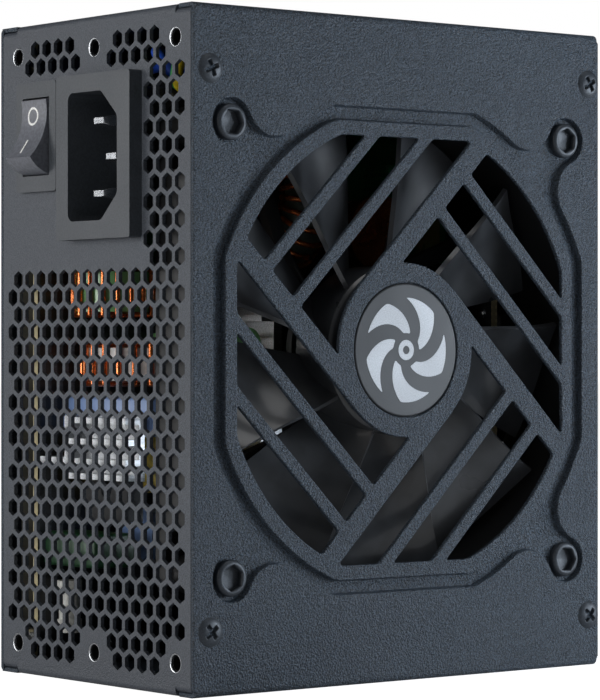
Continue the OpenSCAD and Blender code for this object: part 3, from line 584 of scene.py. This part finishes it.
def add_edge_rounding(target: bpy.types.Object, width: float, segments: int = 2, angle: float = 40) -> None:
    """Adds a bevel along the crisp edges of an object, with its width in millimetres."""
    bevel = target.modifiers.new("edge_rounding", "BEVEL")
    bevel.width = width * MM
    bevel.segments = segments
    bevel.limit_method = "ANGLE"
    bevel.angle_limit = math.radians(angle)
    bevel.harden_normals = True
    bevel.use_clamp_overlap = True


def dress(node: str, finish: Finish, edge: float = 0.0) -> None:
    """Gives a CAD node its finish, and rounds its crisp edges by so many millimetres."""
    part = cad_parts[node]
    part.data.materials.clear()
    part.data.materials.append(finish.material())
    if edge:
        add_edge_rounding(part, edge)


def declare(piece: bpy.types.Object, slot: str, *nodes: str) -> bpy.types.Object:
    """Hides the CAD nodes that a piece stands for, and returns the piece."""
    if nodes:
        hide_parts(*nodes)
    return piece


# ---------- case ----------


@dataclass
class FanCover:
    """The folded steel cover with its lobed recess, pinwheel grille and badge.

    Attributes:
        half_width: Half of the cover's width along X.
        sheet: Sheet thickness.
        fold: Outside radius of the fold into each end flange.
        flange: Depth of the end flanges.
        recess: Depth of the lobed recess.
        recess_circle: Radius and half flat-to-flat width of the recess.
        raised_circle: The same for the raised middle that carries the grille.
        opening_circle: The same for the opening.
        lobe: Radius of the lobe round each fan screw.
        lobe_reach: Distance of a lobe from the middle, along X and along Z.
        arm: The near and far side of each thick arm, in the grille's turned frames.
        bars: The near and far sides of the slender bars.
        hub: Radius of the ring around the badge.
        pocket: Radius of the shallow pocket that holds the badge.
        edge: Rounding of the pressed and cut edges.
        recess_fillet: Radius where a lobe runs into the recess.
    """

    half_width: float = 50.0
    sheet: float = 0.8
    fold: float = 1.2
    flange: float = 5.0
    recess: float = 1.3
    recess_circle: Point = (48.7, 45.5)
    raised_circle: Point = (46.0, 42.8)
    opening_circle: Point = (43.0, 40.1)
    lobe: float = 4.45
    lobe_reach: float = 41.25
    arm: Point = (12.3, 16.6)
    bars: tuple[Point, ...] = ((23.6, 26.1), (32.9, 35.4))
    hub: float = 16.5
    pocket: float = 12.8
    edge: float = 0.22
    recess_fillet: float = 6.5

    def flattened(self, size: Point, grow: float = 0.0, count: int = 160) -> Loop:
        """Returns a circle cut off by a square, as one closed loop grown by a distance."""
        return [self.flattened_at(size, 360 * i / count, grow) for i in range(count)]

    @staticmethod
    def flattened_at(size: Point, degrees: float, grow: float = 0.0) -> Point:
        """Returns the point of a cut-off circle in one direction from its middle."""
        c, s = math.cos(math.radians(degrees)), math.sin(math.radians(degrees))
        reach = min(size[0] + grow, (size[1] + grow) / max(abs(c), abs(s)))
        return reach * c, reach * s

    def recess_loop(self) -> Loop:
        """Returns the outline of the recess: the cut-off circle, four lobes and the fillets between."""
        radius, flat = self.recess_circle
        away = self.lobe_reach * math.sqrt(2)
        fillet_at = radius + self.recess_fillet
        span = self.recess_fillet + self.lobe
        aside = math.degrees(math.acos((away ** 2 + fillet_at ** 2 - span ** 2) / (2 * away * fillet_at)))
        f = (fillet_at * math.cos(math.radians(aside)), fillet_at * math.sin(math.radians(aside)))
        meet = math.degrees(math.atan2(f[1], f[0] - away))
        corner = 45 - math.degrees(math.acos(flat / radius))
        quarter = [*arc((0, 0), radius, -corner, -aside, 6),
                   *arc((f[0], -f[1]), self.recess_fillet, 180 - aside, 180 - meet, 12),
                   *arc((away, 0), self.lobe, -meet, meet, 26),
                   *arc(f, self.recess_fillet, meet - 180, aside - 180, 12),
                   *arc((0, 0), radius, aside, corner, 6)]
        clean = [p for i, p in enumerate(quarter) if math.dist(p, quarter[i - 1]) > 0.01]
        return spaced([p for k in range(4) for p in turned(clean, 45 + 90 * k)], 3.0)

    def gap_loops(self) -> list[Loop]:
        """Returns the twelve air gaps of the grille, with round corners."""
        near, far = self.arm
        levels = [far, *(side for bar in self.bars for side in bar)]
        gaps: list[Loop] = []
        for k in range(4):
            turn = 45 + 90 * k

            def rim(degrees: float) -> Point:
                return turned([self.flattened_at(self.opening_circle, degrees + turn)], -turn)[0]

            def crossing(test: Callable[[Point], bool]) -> float:
                return next(a / 10 for a in range(20, 1600) if test(rim(a / 10)))

            left = crossing(lambda p: p[0] <= -near)
            for low_level, high_level in zip(levels[::2], [*levels[1::2], None]):
                start = crossing(lambda p: p[1] >= low_level)
                end = left if high_level is None else crossing(lambda p: p[1] >= high_level)
                steps = max(3, round((end - start) / 1.5))
                outside = [rim(start + (end - start) * i / steps) for i in range(steps + 1)]
                outside[0] = (outside[0][0], low_level)
                if high_level is None:
                    outside[-1] = (-near, outside[-1][1])
                    loop = [(-near, low_level), *outside]
                else:
                    outside[-1] = (outside[-1][0], high_level)
                    loop = [*outside, (-near, high_level)]
                    if low_level == far:
                        begin = 180 - math.degrees(math.asin(math.sqrt(self.hub ** 2 - near ** 2) / self.hub))
                        loop += arc((0, 0), self.hub, begin, 90, 12)[:-1] + [(0.6, far)]
                    else:
                        loop += [(-near, low_level)]
                gaps.append(turned(spaced(softened(loop, 0.75), 3.0), turn))
        return gaps

    def build(self) -> None:
        """Builds the cover's front, its recess, its rolled gap edges and its end flanges."""
        cover = MeshBuilder(lambda a, depth, b: (a, FAN_PLANE + depth, SHAFT_Z + b))
        half_z = SHAFT_Z - self.fold
        width, e = self.half_width, self.edge
        side = [(width, half_z - 0.5), (width - 0.35, half_z)]
        corner_path = [(x * sx, z * sz) for sx, sz, flip in ((1, -1, 1), (1, 1, 0), (-1, 1, 1), (-1, -1, 0))
                       for x, z in (side[::-1] if flip else side)]
        outline = spaced(corner_path, 6.0)

        def inset(amount: float) -> Loop:
            return [(x * (width - amount) / width, z) for x, z in outline]

        cover.stack([(inset(0.5), 0), (inset(e), 0), (inset(e * 0.3), e * 0.3), (inset(0), e),
                     (inset(0), self.sheet - 0.1), (inset(0.1), self.sheet), (inset(4), self.sheet)])
        slope = [(0.3, 0), (0.15, 0), (0.05, 0.04), (-0.03, 0.15), (-0.2, 1.12), (-0.27, 1.25), (-0.4, 1.3)]
        recess = self.recess_loop()
        falls = [(grown(recess, g), d) for g, d in slope]
        cover.stack(falls)
        rises = [(self.flattened(self.raised_circle, -g), d) for g, d in slope]
        cover.stack(rises)
        cover.plane([falls[-1][0], rises[-1][0]], self.recess)
        cover.plane([inset(0.5), falls[0][0]], 0)
        roll = [(e + 0.2, 0), (e, 0), (e * 0.3, e * 0.3), (0, e), (0, self.sheet)]
        holes = [rises[0][0]]
        for gap in self.gap_loops():
            rings = [(grown(gap, g), d) for g, d in roll]
            cover.stack(rings)
            holes.append(rings[0][0])
        pocket = [(circle((0, 0), self.pocket + g, 72), min(d, 0.5)) for g, d in roll]
        cover.stack(pocket)
        cover.plane([pocket[-1][0]], 0.5)
        cover.plane([*holes, pocket[0][0]], 0)
        front = cover.finish("fan_cover_sheet", CASE_COAT, smooth_angle=50)
        declare(front, "coated_sheet", "fan_cover")
        for name, sign in (("fan_cover_upper_flange", 1), ("fan_cover_lower_flange", -1)):
            declare(self.build_flange(name, sign), "coated_sheet")

    def build_flange(self, name: str, sign: int) -> bpy.types.Object:
        """Builds one folded end flange, upwards or downwards."""
        strip = MeshBuilder(lambda a, depth, b: (depth, FAN_PLANE + a, SHAFT_Z + sign * b))
        outer, inner = SHAFT_Z, self.fold - self.sheet
        path = [(0, outer - self.fold),
                *arc((self.fold, outer - self.fold), self.fold, 180, 90, 8)[1:],
                (self.flange - 0.15, outer), (self.flange, outer - 0.15), (self.flange, outer - self.sheet),
                *arc((self.fold, outer - self.fold), inner, 90, 180, 4)]
        section = path[::-1]
        reach = self.half_width - 0.35
        for_ends = [(grown(section, -0.12), -reach), (section, 0.12 - reach),
                    (section, reach - 0.12), (grown(section, -0.12), reach)]
        strip.stack(for_ends)
        strip.plane([for_ends[0][0]], -reach)
        strip.plane([for_ends[-1][0]], reach)
        return strip.finish(name, CASE_COAT, smooth_angle=60)


@dataclass
class Badge:
    """The round plate in the middle of the grille, with a fan sign on it.

    Attributes:
        radius: Radius of the plate.
        blades: Blades of the sign.
        reach: Inner and outer radius of the sign's blades.
        sweep: Degrees that a blade turns between them.
        spread: Degrees that a blade covers at its inner and outer end.
    """

    radius: float = 12.65
    blades: int = 5
    reach: Point = (3.2, 9.9)
    sweep: float = 46.0
    spread: Point = (30.0, 44.0)

    def build(self) -> None:
        """Builds the plate and the raised sign."""
        plate = MeshBuilder(lambda a, depth, b: (a, FAN_PLANE + depth, SHAFT_Z + b))
        plate.lathe((0, 0), [(0, 0.16), (self.radius - 0.45, 0.16), (self.radius - 0.3, 0.17),
                             (self.radius - 0.05, 0.26), (self.radius, 0.36), (self.radius, 0.48)], 96)
        declare(plate.finish("badge_plate", BADGE_METAL, smooth_angle=60), "badge_plate", "badge_disc")
        sign = MeshBuilder(lambda a, depth, b: (a, FAN_PLANE + depth, SHAFT_Z + b))
        shapes = [circle((0, 0), 1.9, 40), circle((0, 0), 0.8, 24)]
        for k in range(self.blades):
            start = 360 * k / self.blades
            inner, outer = self.reach
            edge_a = [self.swept(start, t / 12, 0) for t in range(13)]
            edge_b = [self.swept(start, t / 12, 1) for t in range(13)]
            tip = arc((0, 0), outer, start + self.sweep, start + self.sweep + self.spread[1], 10)
            root = arc((0, 0), inner, start + self.spread[0], start, 6)
            shapes.append(softened([*edge_a, *tip[1:-1], *edge_b[::-1], *root[1:-1]], 0.5, 40))
        sign.plane(shapes, 0.1)
        for shape in shapes:
            sign.stack([(shape, 0.1), (shape, 0.17)])
        declare(sign.finish("badge_sign", PALE_METAL), "badge_plate")

    def swept(self, start: float, t: float, side: int) -> Point:
        """Returns a point of a blade's edge, from root (t = 0) to tip (t = 1)."""
        radius = self.reach[0] + (self.reach[1] - self.reach[0]) * t
        spread = self.spread[0] + (self.spread[1] - self.spread[0]) * t
        angle = math.radians(start + self.sweep * t + side * spread)
        return radius * math.cos(angle), radius * math.sin(angle)


@dataclass
class Screws:
    """Heads of the case screws and the fan screws, and the clinch nuts of the rear panel.

    Attributes:
        case_places: X and Z of the cover's screws, with the turn of each cross recess.
        case_head: Radius and height of a cover screw's head.
        fan_reach: Distance of the fan screws from the fan's axis, along X and along Z.
        fan_head: Radius of a fan screw's head.
        socket: Distance across the flats of its hexagon socket.
        nut_places: Y and Z of the mounting nuts.
    """

    case_places: tuple[tuple[float, float, float], ...] = (
        (-46.2, 113.2, 22), (-46.2, 11.8, 38), (47.2, 115.2, 30), (47.2, 10.0, 48))
    case_head: Point = (2.7, 0.62)
    fan_reach: float = 41.25
    fan_head: float = 3.35
    socket: float = 4.2
    nut_places: tuple[Point, ...] = tuple((y, z) for y in (-26.0, -0.25, 25.5) for z in (6.0, 119.0))

    def build(self) -> None:
        """Builds all heads and nuts."""
        heads = MeshBuilder(facing_fan)
        for x, z, turn in self.case_places:
            self.add_cross_head(heads, (x, z), turn)
        declare(heads.finish("cover_screw_heads", BLACK_ZINC, smooth_angle=70), "black_screw", "cover_screws")
        caps = MeshBuilder(facing_fan)
        for sx in (-1, 1):
            for sz in (-1, 1):
                place = (sx * self.fan_reach, SHAFT_Z + sz * self.fan_reach)
                self.add_socket_head(caps, place, 10 + 14 * sx * sz)
        declare(caps.finish("fan_screw_heads", BLACK_ZINC, smooth_angle=50), "black_screw", "fan_screws")
        nuts, bores = MeshBuilder(facing_rear), MeshBuilder(facing_rear)
        thread = [(1.4 + 0.06 * (i % 2), 0.55 + 0.2 * i) for i in range(11)]
        for place in self.nut_places:
            nuts.lathe(place, [(1.46, 2.6), (2.9, 2.6), (2.9, 0.85), (1.82, 0.8), (1.82, 0.08), (1.77, 0.01),
                               (1.62, 0.0), (1.53, 0.08), (1.49, 0.3), (1.46, 0.55)], 48)
            # The bore threads wear the near-black bore steel, painted shade inside each hole.
            bores.lathe(place, [(1.46, 0.55), *thread, (1.46, 2.6)], 40)
        declare(nuts.finish("clinch_nuts", NICKEL, smooth_angle=50), "bright_steel", "mounting_nuts")
        declare(bores.finish("nut_threads", BORE_STEEL_PAINTED_SHADE, smooth_angle=50), "bright_steel")

    def add_cross_head(self, builder: MeshBuilder, place: Point, turn: float) -> None:
        """Adds one domed head with a cross recess."""
        radius, height = self.case_head
        c, s = math.cos(math.radians(turn)), math.sin(math.radians(turn))

        def slot(along: float, across: float) -> float:
            sides = min(1.0, max(0.0, (0.44 - abs(across)) / 0.14))
            ends = min(1.0, max(0.0, (1.62 - abs(along)) / 0.5))
            return 0.72 * sides * ends

        def depth_at(dx: float, dz: float) -> float:
            along, across = dx * c + dz * s, dz * c - dx * s
            dome = height * (1 - ((dx * dx + dz * dz) / radius ** 2) ** 1.6)
            return max(slot(along, across), slot(across, along)) - dome

        builder.field(place, [radius * i / 30 for i in range(31)], depth_at, 96)
        builder.stack([(circle(place, radius, 96), 0), (circle(place, radius, 96), 0.1)])

    def add_socket_head(self, builder: MeshBuilder, place: Point, turn: float) -> None:
        """Adds one button head with a hexagon socket."""
        count = 60

        def hexagon(apothem: float) -> Loop:
            out = []
            for i in range(count):
                angle = 360 * i / count
                reach = apothem / math.cos(math.radians((angle - turn) % 60 - 30))
                out.append((place[0] + reach * math.cos(math.radians(angle)),
                            place[1] + reach * math.sin(math.radians(angle))))
            return out

        flat = self.socket / 2
        rings = [(circle(place, r, count), d) for r, d in
                 ((self.fan_head, 1.32), (self.fan_head, 0.35), (self.fan_head - 0.06, 0.15),
                  (self.fan_head - 0.25, -0.02), (self.fan_head - 0.55, -0.14), (self.fan_head - 0.75, -0.18))]
        rings += [(hexagon(flat + 0.12), -0.16), (hexagon(flat), -0.02), (hexagon(flat), 1.15),
                  (hexagon(flat * 0.5), 1.24), (hexagon(0.05), 1.3)]
        builder.stack(rings)


class Casing:
    """All sheet metal of the case, its screws and its badge."""

    def build(self) -> None:
        """Builds the hero pieces of the case."""
        FanCover().build()
        Badge().build()
        Screws().build()

    def dress(self) -> None:
        """Gives the CAD sheets their powder coats."""
        for node in ("base_cover", "upper_wall", "lower_wall"):
            dress(node, CASE_COAT, 0.15)
        for node in ("rear_panel", "connector_panel"):
            dress(node, PANEL_COAT, 0.08)
        dress("base_screws", BLACK_ZINC)


# ---------- fan ----------


@dataclass
class Impeller:
    """The hub and its swept blades.

    Attributes:
        blades: Number of blades.
        hub: Radius of the hub.
        reach: Radii between which a blade runs.
        depth: Depth of the blades' front and back below the cover's face.
        twist: Degrees that a blade turns from its back to its front.
        phase: Degrees that the first blade is turned from the X axis.
        thickness: Thickness of a blade in its middle.
    """

    blades: int = 9
    hub: float = 16.0
    reach: Point = (15.4, 43.1)
    depth: Point = (4.2, 13.0)
    twist: float = 31.0
    phase: float = 12.0
    thickness: float = 0.8

    def build(self) -> None:
        """Builds the hub and the blades as one moulding."""
        # Hub and blades share the blade finish, whose lifted colour is painted sheen over dark polyester.
        hub = MeshBuilder(lambda a, depth, b: (a, FAN_PLANE + depth, SHAFT_Z + b))
        hub.lathe((0, 0), [(0, 3.32), (self.hub - 1.6, 3.32), (self.hub - 0.7, 3.5), (self.hub - 0.15, 4.0),
                           (self.hub, 4.8), (self.hub, 13.5), (self.hub - 1.3, 13.5), (self.hub - 1.3, 5),
                           (0, 5)], 72)
        declare(hub.finish("impeller_hub", BLADE_PLASTIC_PAINTED_SHEEN, "fan_rotor"), "blade_plastic", "impeller")
        blades = MeshBuilder(lambda s, r, depth: (r * math.cos(s / r), FAN_PLANE + depth,
                                                  SHAFT_Z + r * math.sin(s / r)))
        steps = 16
        radii = [self.reach[0] + (self.reach[1] - self.reach[0]) * i / steps for i in range(steps + 1)]
        for k in range(self.blades):
            sections = [(self.section(r, self.phase + 360 * k / self.blades), r) for r in radii]
            blades.stack(sections)
            blades.plane([sections[-1][0]], self.reach[1])
        made = blades.finish("impeller_blades", BLADE_PLASTIC_PAINTED_SHEEN, "fan_rotor", smooth_angle=60)
        declare(made, "blade_plastic")

    def section(self, radius: float, start: float) -> Loop:
        """Returns a blade's closed section at one radius, as arc length and depth."""
        run = radius - self.hub
        lead = start + 14 - 0.55 * run + 0.0112 * run * run
        front, back = self.depth
        share = (radius - self.reach[0]) / (self.reach[1] - self.reach[0])
        steps = 14
        middle = []
        for i in range(steps + 1):
            v = i / steps
            angle = math.radians(lead + self.twist * (1 - v) + 3.0 * math.sin(math.pi * v) - 3.2)
            depth = front + (back - front) * (v + 0.10 * math.sin(math.pi * v)) + 0.5 * share * (1 - v)
            middle.append((radius * angle, depth))
        upper, lower = [], []
        for i, (s, depth) in enumerate(middle):
            ahead, behind = middle[min(i + 1, steps)], middle[max(i - 1, 0)]
            tangent = Vector((ahead[0] - behind[0], ahead[1] - behind[1])).normalized()
            v = i / steps
            half = 0.5 * self.thickness * math.sqrt(max(0.0, 1 - abs(2 * v - 0.8) ** 3 / 1.74)) + 0.12
            upper.append((s + tangent.y * half, depth - tangent.x * half))
            lower.append((s - tangent.y * half, depth + tangent.x * half))
        return [*upper, *lower[::-1]]


class FanAssembly:
    """The fan behind the grille."""

    def build(self) -> None:
        """Builds the impeller and the fan's lead."""
        Impeller().build()
        lead = MeshBuilder()
        for i in (0, 1):
            dx = 1.5 * i
            lead.tube([(dx - 8, -13.6, 70.5), (dx - 20, -13.6, 84.5), (dx - 27, -8.4, 89.5),
                       (dx - 27, 23.2, 89.5)], 0.62)
        declare(lead.finish("fan_lead_wires", BLACK_VINYL), "lead_cover", "fan_lead")

    def dress(self) -> None:
        """Gives the fan's CAD parts their finishes."""
        looks = {"fan_frame": FRAME_PLASTIC, "rotor_yoke": ROLLED_STEEL, "rotor_magnet": FERRITE,
                 "fan_shaft": NICKEL, "bearing_sleeve": BRONZE, "fan_stator": ROLLED_STEEL,
                 "fan_windings": COPPER_WIRE, "fan_circuit_board": SOLDER_MASK}
        for node, finish in looks.items():
            dress(node, finish)


# ---------- inlet and switch ----------


@dataclass
class InletAndSwitch:
    """The mains inlet, the rocker switch and the leads behind them.

    Attributes:
        pivot: X and Z of the rocker's axis.
        middle: Y of the rocker's middle.
        tilt: Degrees that the rocker is tilted at rest.
        scoop: Distance of the scoop's centre from the axis, and its radius.
        pin_places: Y and Z of the live, neutral and earth pins.
    """

    pivot: Point = (-49.1, 103.2)
    middle: float = 17.55
    tilt: float = 18.0
    scoop: Point = (15.17, 12.0)
    pin_places: tuple[Point, ...] = ((-1.65, 105.3), (-1.65, 91.7), (-5.65, 98.5))

    def on_rocker(self, y: float, depth: float, along: float) -> tuple[float, float, float]:
        """Places a point on the rocker's scooped face, by its height along the scoop."""
        far, radius = self.scoop
        angle = along / radius
        x, z = (radius + depth) * math.cos(angle) - far, (radius + depth) * math.sin(angle)
        c, s = math.cos(math.radians(self.tilt)), math.sin(math.radians(self.tilt))
        return self.pivot[0] + x * c + z * s, self.middle + y, self.pivot[1] - x * s + z * c

    def build(self) -> None:
        """Builds the pins, the printed on and off marks and the leads."""
        self.build_pins()
        marks = MeshBuilder(self.on_rocker)
        off_at = (0.35, 3.0)
        ring = [circle(off_at, 1.78, 40), circle(off_at, 1.36, 40)]
        bar = round_rectangle((0.13, -4.85), (0.57, -1.75), 0.1, 2)
        for loops in (ring, [bar]):
            marks.plane(loops, -0.035)
            for loop in loops:
                marks.stack([(loop, -0.035), (loop, 0.02)])
        declare(marks.finish("rocker_marks", WHITE_INK, "rocker"), "rocker_plastic")
        live = MeshBuilder()
        live.tube([(-31, -1.65, 105.3), (-29.6, -1.65, 105.3), (-29, -6, 110), (-33, -13, 115.4),
                   (-42, -15.4, 113.4), (-44, -12, 117.4), (-36, -3, 118.4), (-27, 8, 118),
                   (-26, 20.2, 117), (-26, 23.2, 117)], 1.08)
        declare(live.finish("live_lead", BLUE_VINYL), "mains_cover", "mains_wires")
        earth = MeshBuilder()
        earth.tube([(-31, -5.65, 98.5), (-29.5, -5.65, 98.5), (-28.6, -9.4, 105), (-29, -15.4, 112.2),
                    (-38, -18.6, 111.6), (-45, -20, 111.2), (-45.4, -21.6, 116.6), (-39, -17.4, 120),
                    (-29, -8, 121), (-24, -4, 122.9)], 1.2)
        piece = earth.finish("earth_lead", EARTH_YELLOW)
        piece.data.materials.append(EARTH_GREEN.material())
        for polygon in piece.data.polygons:
            polygon.material_index = int(polygon.index % 16 in (2, 3, 4, 10, 11, 12))
        declare(piece, "mains_cover")
        neutral = MeshBuilder()
        neutral.tube([(-31, -1.65, 91.7), (-29.6, -1.65, 91.7), (-29.6, 6, 88.4), (-32, 15, 84),
                      (-32, 23.2, 84)], 1.08)
        declare(neutral.finish("neutral_lead", BROWN_VINYL), "mains_cover")

    def build_pins(self) -> None:
        """Builds the inlet's three blades, each tapered to a small flat tip."""
        pins = MeshBuilder(facing_rear)
        for y, z in self.pin_places:
            loops = [(round_rectangle((y - across, z - up), (y + across, z + up), 0.12, 3), depth)
                     for across, up, depth in ((1.55, 0.55, 0.1), (1.6, 0.6, 0.16), (2.0, 1.0, 1.75),
                                               (2.0, 1.0, 19.0))]
            pins.stack(loops)
            pins.plane([loops[0][0]], loops[0][1])
            pins.plane([loops[-1][0]], loops[-1][1])
        declare(pins.finish("inlet_blades", NICKEL, smooth_angle=30), "bright_steel", "inlet_pins")

    def dress(self) -> None:
        """Gives the inlet's and the switch's CAD parts their finishes."""
        dress("inlet_body", NYLON, 0.42)
        dress("switch_housing", NYLON, 0.3)
        dress("switch_rocker", ROCKER_PLASTIC, 0.3)
        for node in ("switch_terminals", "switch_spring"):
            dress(node, NICKEL)
        dress("contact_lever", BRASS)


# ---------- electronics and output sockets ----------


@dataclass
class Electronics:
    """Boards and components inside the case.

    Attributes:
        connector_face: X of the connector board's bare face.
        joint_column: Y of the solder joints seen on it.
        joint_heights: Z of each joint.
        joint_profile: Radius and height of a joint's dome, from its tip to its rim.
    """

    connector_face: float = 39.4
    joint_column: float = -8.8
    joint_heights: tuple[float, ...] = (74.0, 70.0, 51.2)
    joint_profile: tuple[Point, ...] = ((0, -0.55), (0.5, -0.47), (0.85, -0.24), (1.0, 0.0))

    def build(self) -> None:
        """Builds the coloured film capacitors and the connector board's solder joints."""
        boxes = (("across_line_capacitor", YELLOW_BOX, (-33, -21), (35, 50), (8, 23.2)),
                 ("blue_capacitor", BLUE_EPOXY, (-41, -35), (46.2, 53.6), (-5.4, 23.2)),
                 ("small_capacitor", GREEN_BOX, (-45.5, -36), (21, 27.5), (6, 23.2)))
        for name, finish, x, z, y in boxes:
            box = MeshBuilder()
            shape = [(round_rectangle((x[0] + g, z[0] + g), (x[1] - g, z[1] - g), 0.8 - g * 0.5), d)
                     for g, d in ((0.5, y[0]), (0.15, y[0] + 0.12), (0, y[0] + 0.5), (0, y[1]))]
            box.stack(shape)
            box.plane([shape[0][0]], y[0])
            box.plane([shape[-1][0]], y[1])
            replaced = ("film_capacitors",) if name == "blue_capacitor" else ()
            declare(box.finish(name, finish, smooth_angle=50), "film_case", *replaced)
        joints = MeshBuilder(lambda y, depth, z: (self.connector_face + depth, y, z))
        for z in self.joint_heights:
            joints.lathe((self.joint_column, z), self.joint_profile, 24)
        declare(joints.finish("solder_joints", SOLDER, smooth_angle=70), "bright_steel")

    def dress(self) -> None:
        """Gives the CAD boards and components their finishes."""
        looks = {
            "insulating_sheet": CLEAR_FILM, "standoffs": BRASS, "board_screws": NICKEL,
            "line_choke_core": GREEN_EPOXY,
            "line_choke_winding": COPPER_WIRE, "filter_choke_core": WHITE_EPOXY,
            "filter_choke_winding": COPPER_WIRE, "mains_fuse": FUSE_CERAMIC, "varistor": BLUE_EPOXY,
            "inrush_thermistor": GREEN_EPOXY, "bypass_relay": BLACK_MOULDING,
            "bridge_rectifier": BLACK_MOULDING, "rectifier_heatsink": ALUMINIUM,
            "boost_choke_core": GREY_EPOXY, "boost_choke_winding": COPPER_WIRE,
            "bulk_capacitor": SHRINK_SLEEVE, "primary_heatsink": ALUMINIUM,
            "primary_transistors": BLACK_MOULDING, "transformer_core": FERRITE,
            "transformer_winding": FILM_TAPE, "standby_transformer": FILM_TAPE,
            "resonant_choke": COPPER_WIRE, "controller_board": SOLDER_MASK,
            "converter_board": SOLDER_MASK, "output_capacitors": ROLLED_STEEL,
        }
        for node, finish in looks.items():
            dress(node, finish)
        for node, flat_axis in (("main_board", 1), ("connector_board", 0)):
            dress(node, DARK_MASK)
            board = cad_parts[node].data
            board.materials.append(LAMINATE.material())
            for polygon in board.polygons:
                polygon.material_index = int(abs(polygon.normal[flat_axis]) < 0.5)


class OutputSockets:
    """The shrouded sockets of the connector panel and their pins."""

    def dress(self) -> None:
        """Gives the sockets their finishes."""
        dress("main_socket", BLACK_MOULDING)
        dress("cable_sockets", BLACK_MOULDING)
        dress("socket_pins", BRASS)


# ---------- studio ----------


@dataclass(frozen=True)
class SoftLight:
    """One soft box.

    Attributes:
        name: Its name.
        place: Its middle, in metres.
        aim: The point that it faces.
        size: Its width and height.
        power: Its power in watts.
        colour: sRGB hex of its light.
    """

    name: str
    place: tuple[float, float, float]
    aim: tuple[float, float, float]
    size: Point
    power: float
    colour: str = "ffffff"

    def build(self) -> None:
        """Adds the soft box to the scene."""
        data = bpy.data.lights.new(self.name, "AREA")
        data.shape = "RECTANGLE"
        data.size, data.size_y = self.size
        data.energy = self.power
        data.color = linear(self.colour)[:3]
        lamp = bpy.data.objects.new(self.name, data)
        bpy.context.scene.collection.objects.link(lamp)
        lamp.location = self.place
        lamp.rotation_euler = (Vector(self.aim) - Vector(self.place)).to_track_quat("-Z", "Y").to_euler()


@dataclass
class Studio:
    """A pale floor, soft lights and the camera.

    Attributes:
        camera_place: The camera's place in metres.
        camera_turn: Degrees that it is turned about Z, from looking along +Y towards +X.
        lens: Focal length in millimetres on a 36 mm sensor.
        ambient: sRGB hex of the light from all round, and its strength.
        lights: The soft boxes.
        paper_lift: How brightly the floor shows to the viewer alone.
    """

    camera_place: tuple[float, float, float] = (-0.3812, -0.4801, 0.0625)
    camera_turn: float = 38.397
    lens: float = 160.2
    ambient: tuple[str, float] = ("eef2f8", 0.10)
    paper_lift: float = 0.85
    lights: tuple[SoftLight, ...] = (
        SoftLight("front_softbox", (0.34, -0.30, 0.03), (0.05, -0.03, 0.035), (0.26, 0.26), 2.35, "e8f3ff"),
        SoftLight("rear_softbox", (-0.80, 0.50, 0.12), (-0.05, 0.0, 0.07), (0.5, 0.5), 3.8),
        SoftLight("vent_softbox", (-0.95, -0.05, 0.11), (-0.05, 0, 0.07), (0.16, 0.16), 1.6),
        SoftLight("left_softbox", (-1.0, -0.12, 0.5), (-0.03, 0, 0.06), (0.4, 0.4), 1.9, "fff8f2"),
        SoftLight("top_softbox", (0.2, -0.5, 0.9), (0, 0, 0.06), (0.5, 0.5), 1.1),
    )

    def build(self) -> None:
        """Builds the world, the floor, the lights and the camera."""
        world = bpy.data.worlds.new("studio")
        world.use_nodes = True
        tree = world.node_tree
        tree.nodes.clear()
        room = add_node(tree, "ShaderNodeBackground", {"Color": linear(self.ambient[0]),
                                                       "Strength": self.ambient[1]})
        backdrop = add_node(tree, "ShaderNodeBackground", {"Color": linear("ffffff"), "Strength": 1.0})
        path = add_node(tree, "ShaderNodeLightPath")
        either = add_node(tree, "ShaderNodeMixShader", {}, {0: path.outputs["Is Camera Ray"],
                                                            1: room.outputs[0], 2: backdrop.outputs[0]})
        add_node(tree, "ShaderNodeOutputWorld", {}, {"Surface": either.outputs[0]})
        scene = bpy.context.scene
        scene.world = world
        scene.view_settings.view_transform = "Standard"
        paper = Finish("paper_floor", "f2f2f2", "ededed", 0.9, grain_mm=1.2, relief_mm=0.01, patch_mm=120)
        floor = MeshBuilder(lambda a, depth, b: (a, b, depth))
        floor.plane([round_rectangle((-4000, -4000), (4000, 4000), 500)], 0)
        floor.write("floor", paper)
        self.lift_floor(paper.material().node_tree)
        for light in self.lights:
            light.build()
        data = bpy.data.cameras.new("camera")
        data.lens, data.sensor_width = self.lens, 36.0
        data.clip_start = 0.01
        camera = bpy.data.objects.new("camera", data)
        scene.collection.objects.link(camera)
        camera.location = self.camera_place
        camera.rotation_euler = (math.radians(90), 0, -math.radians(self.camera_turn))
        scene.camera = camera

    def lift_floor(self, tree: bpy.types.NodeTree) -> None:
        """Makes the paper glow to the viewer alone, so that it runs out to white."""
        paper = next(node for node in tree.nodes if node.type == "BSDF_PRINCIPLED")
        viewer = add_node(tree, "ShaderNodeLightPath")
        glow = add_node(tree, "ShaderNodeMath", {"operation": "MULTIPLY", 1: self.paper_lift},
                        {0: viewer.outputs["Is Camera Ray"]})
        tree.links.new(glow.outputs[0], paper.inputs["Emission Strength"])
        paper.inputs["Emission Color"].default_value = linear("ffffff")


def main() -> None:
    """Builds the studio and every sub-assembly, in order."""
    logging.basicConfig(level=logging.INFO, format="%(message)s")
    for part in (Studio(), Casing(), FanAssembly(), InletAndSwitch(), Electronics(), OutputSockets()):
        LOG.info("building %s", type(part).__name__)
        for step in ("build", "dress"):
            if hasattr(part, step):
                getattr(part, step)()


if __name__ == "__main__":
    main()
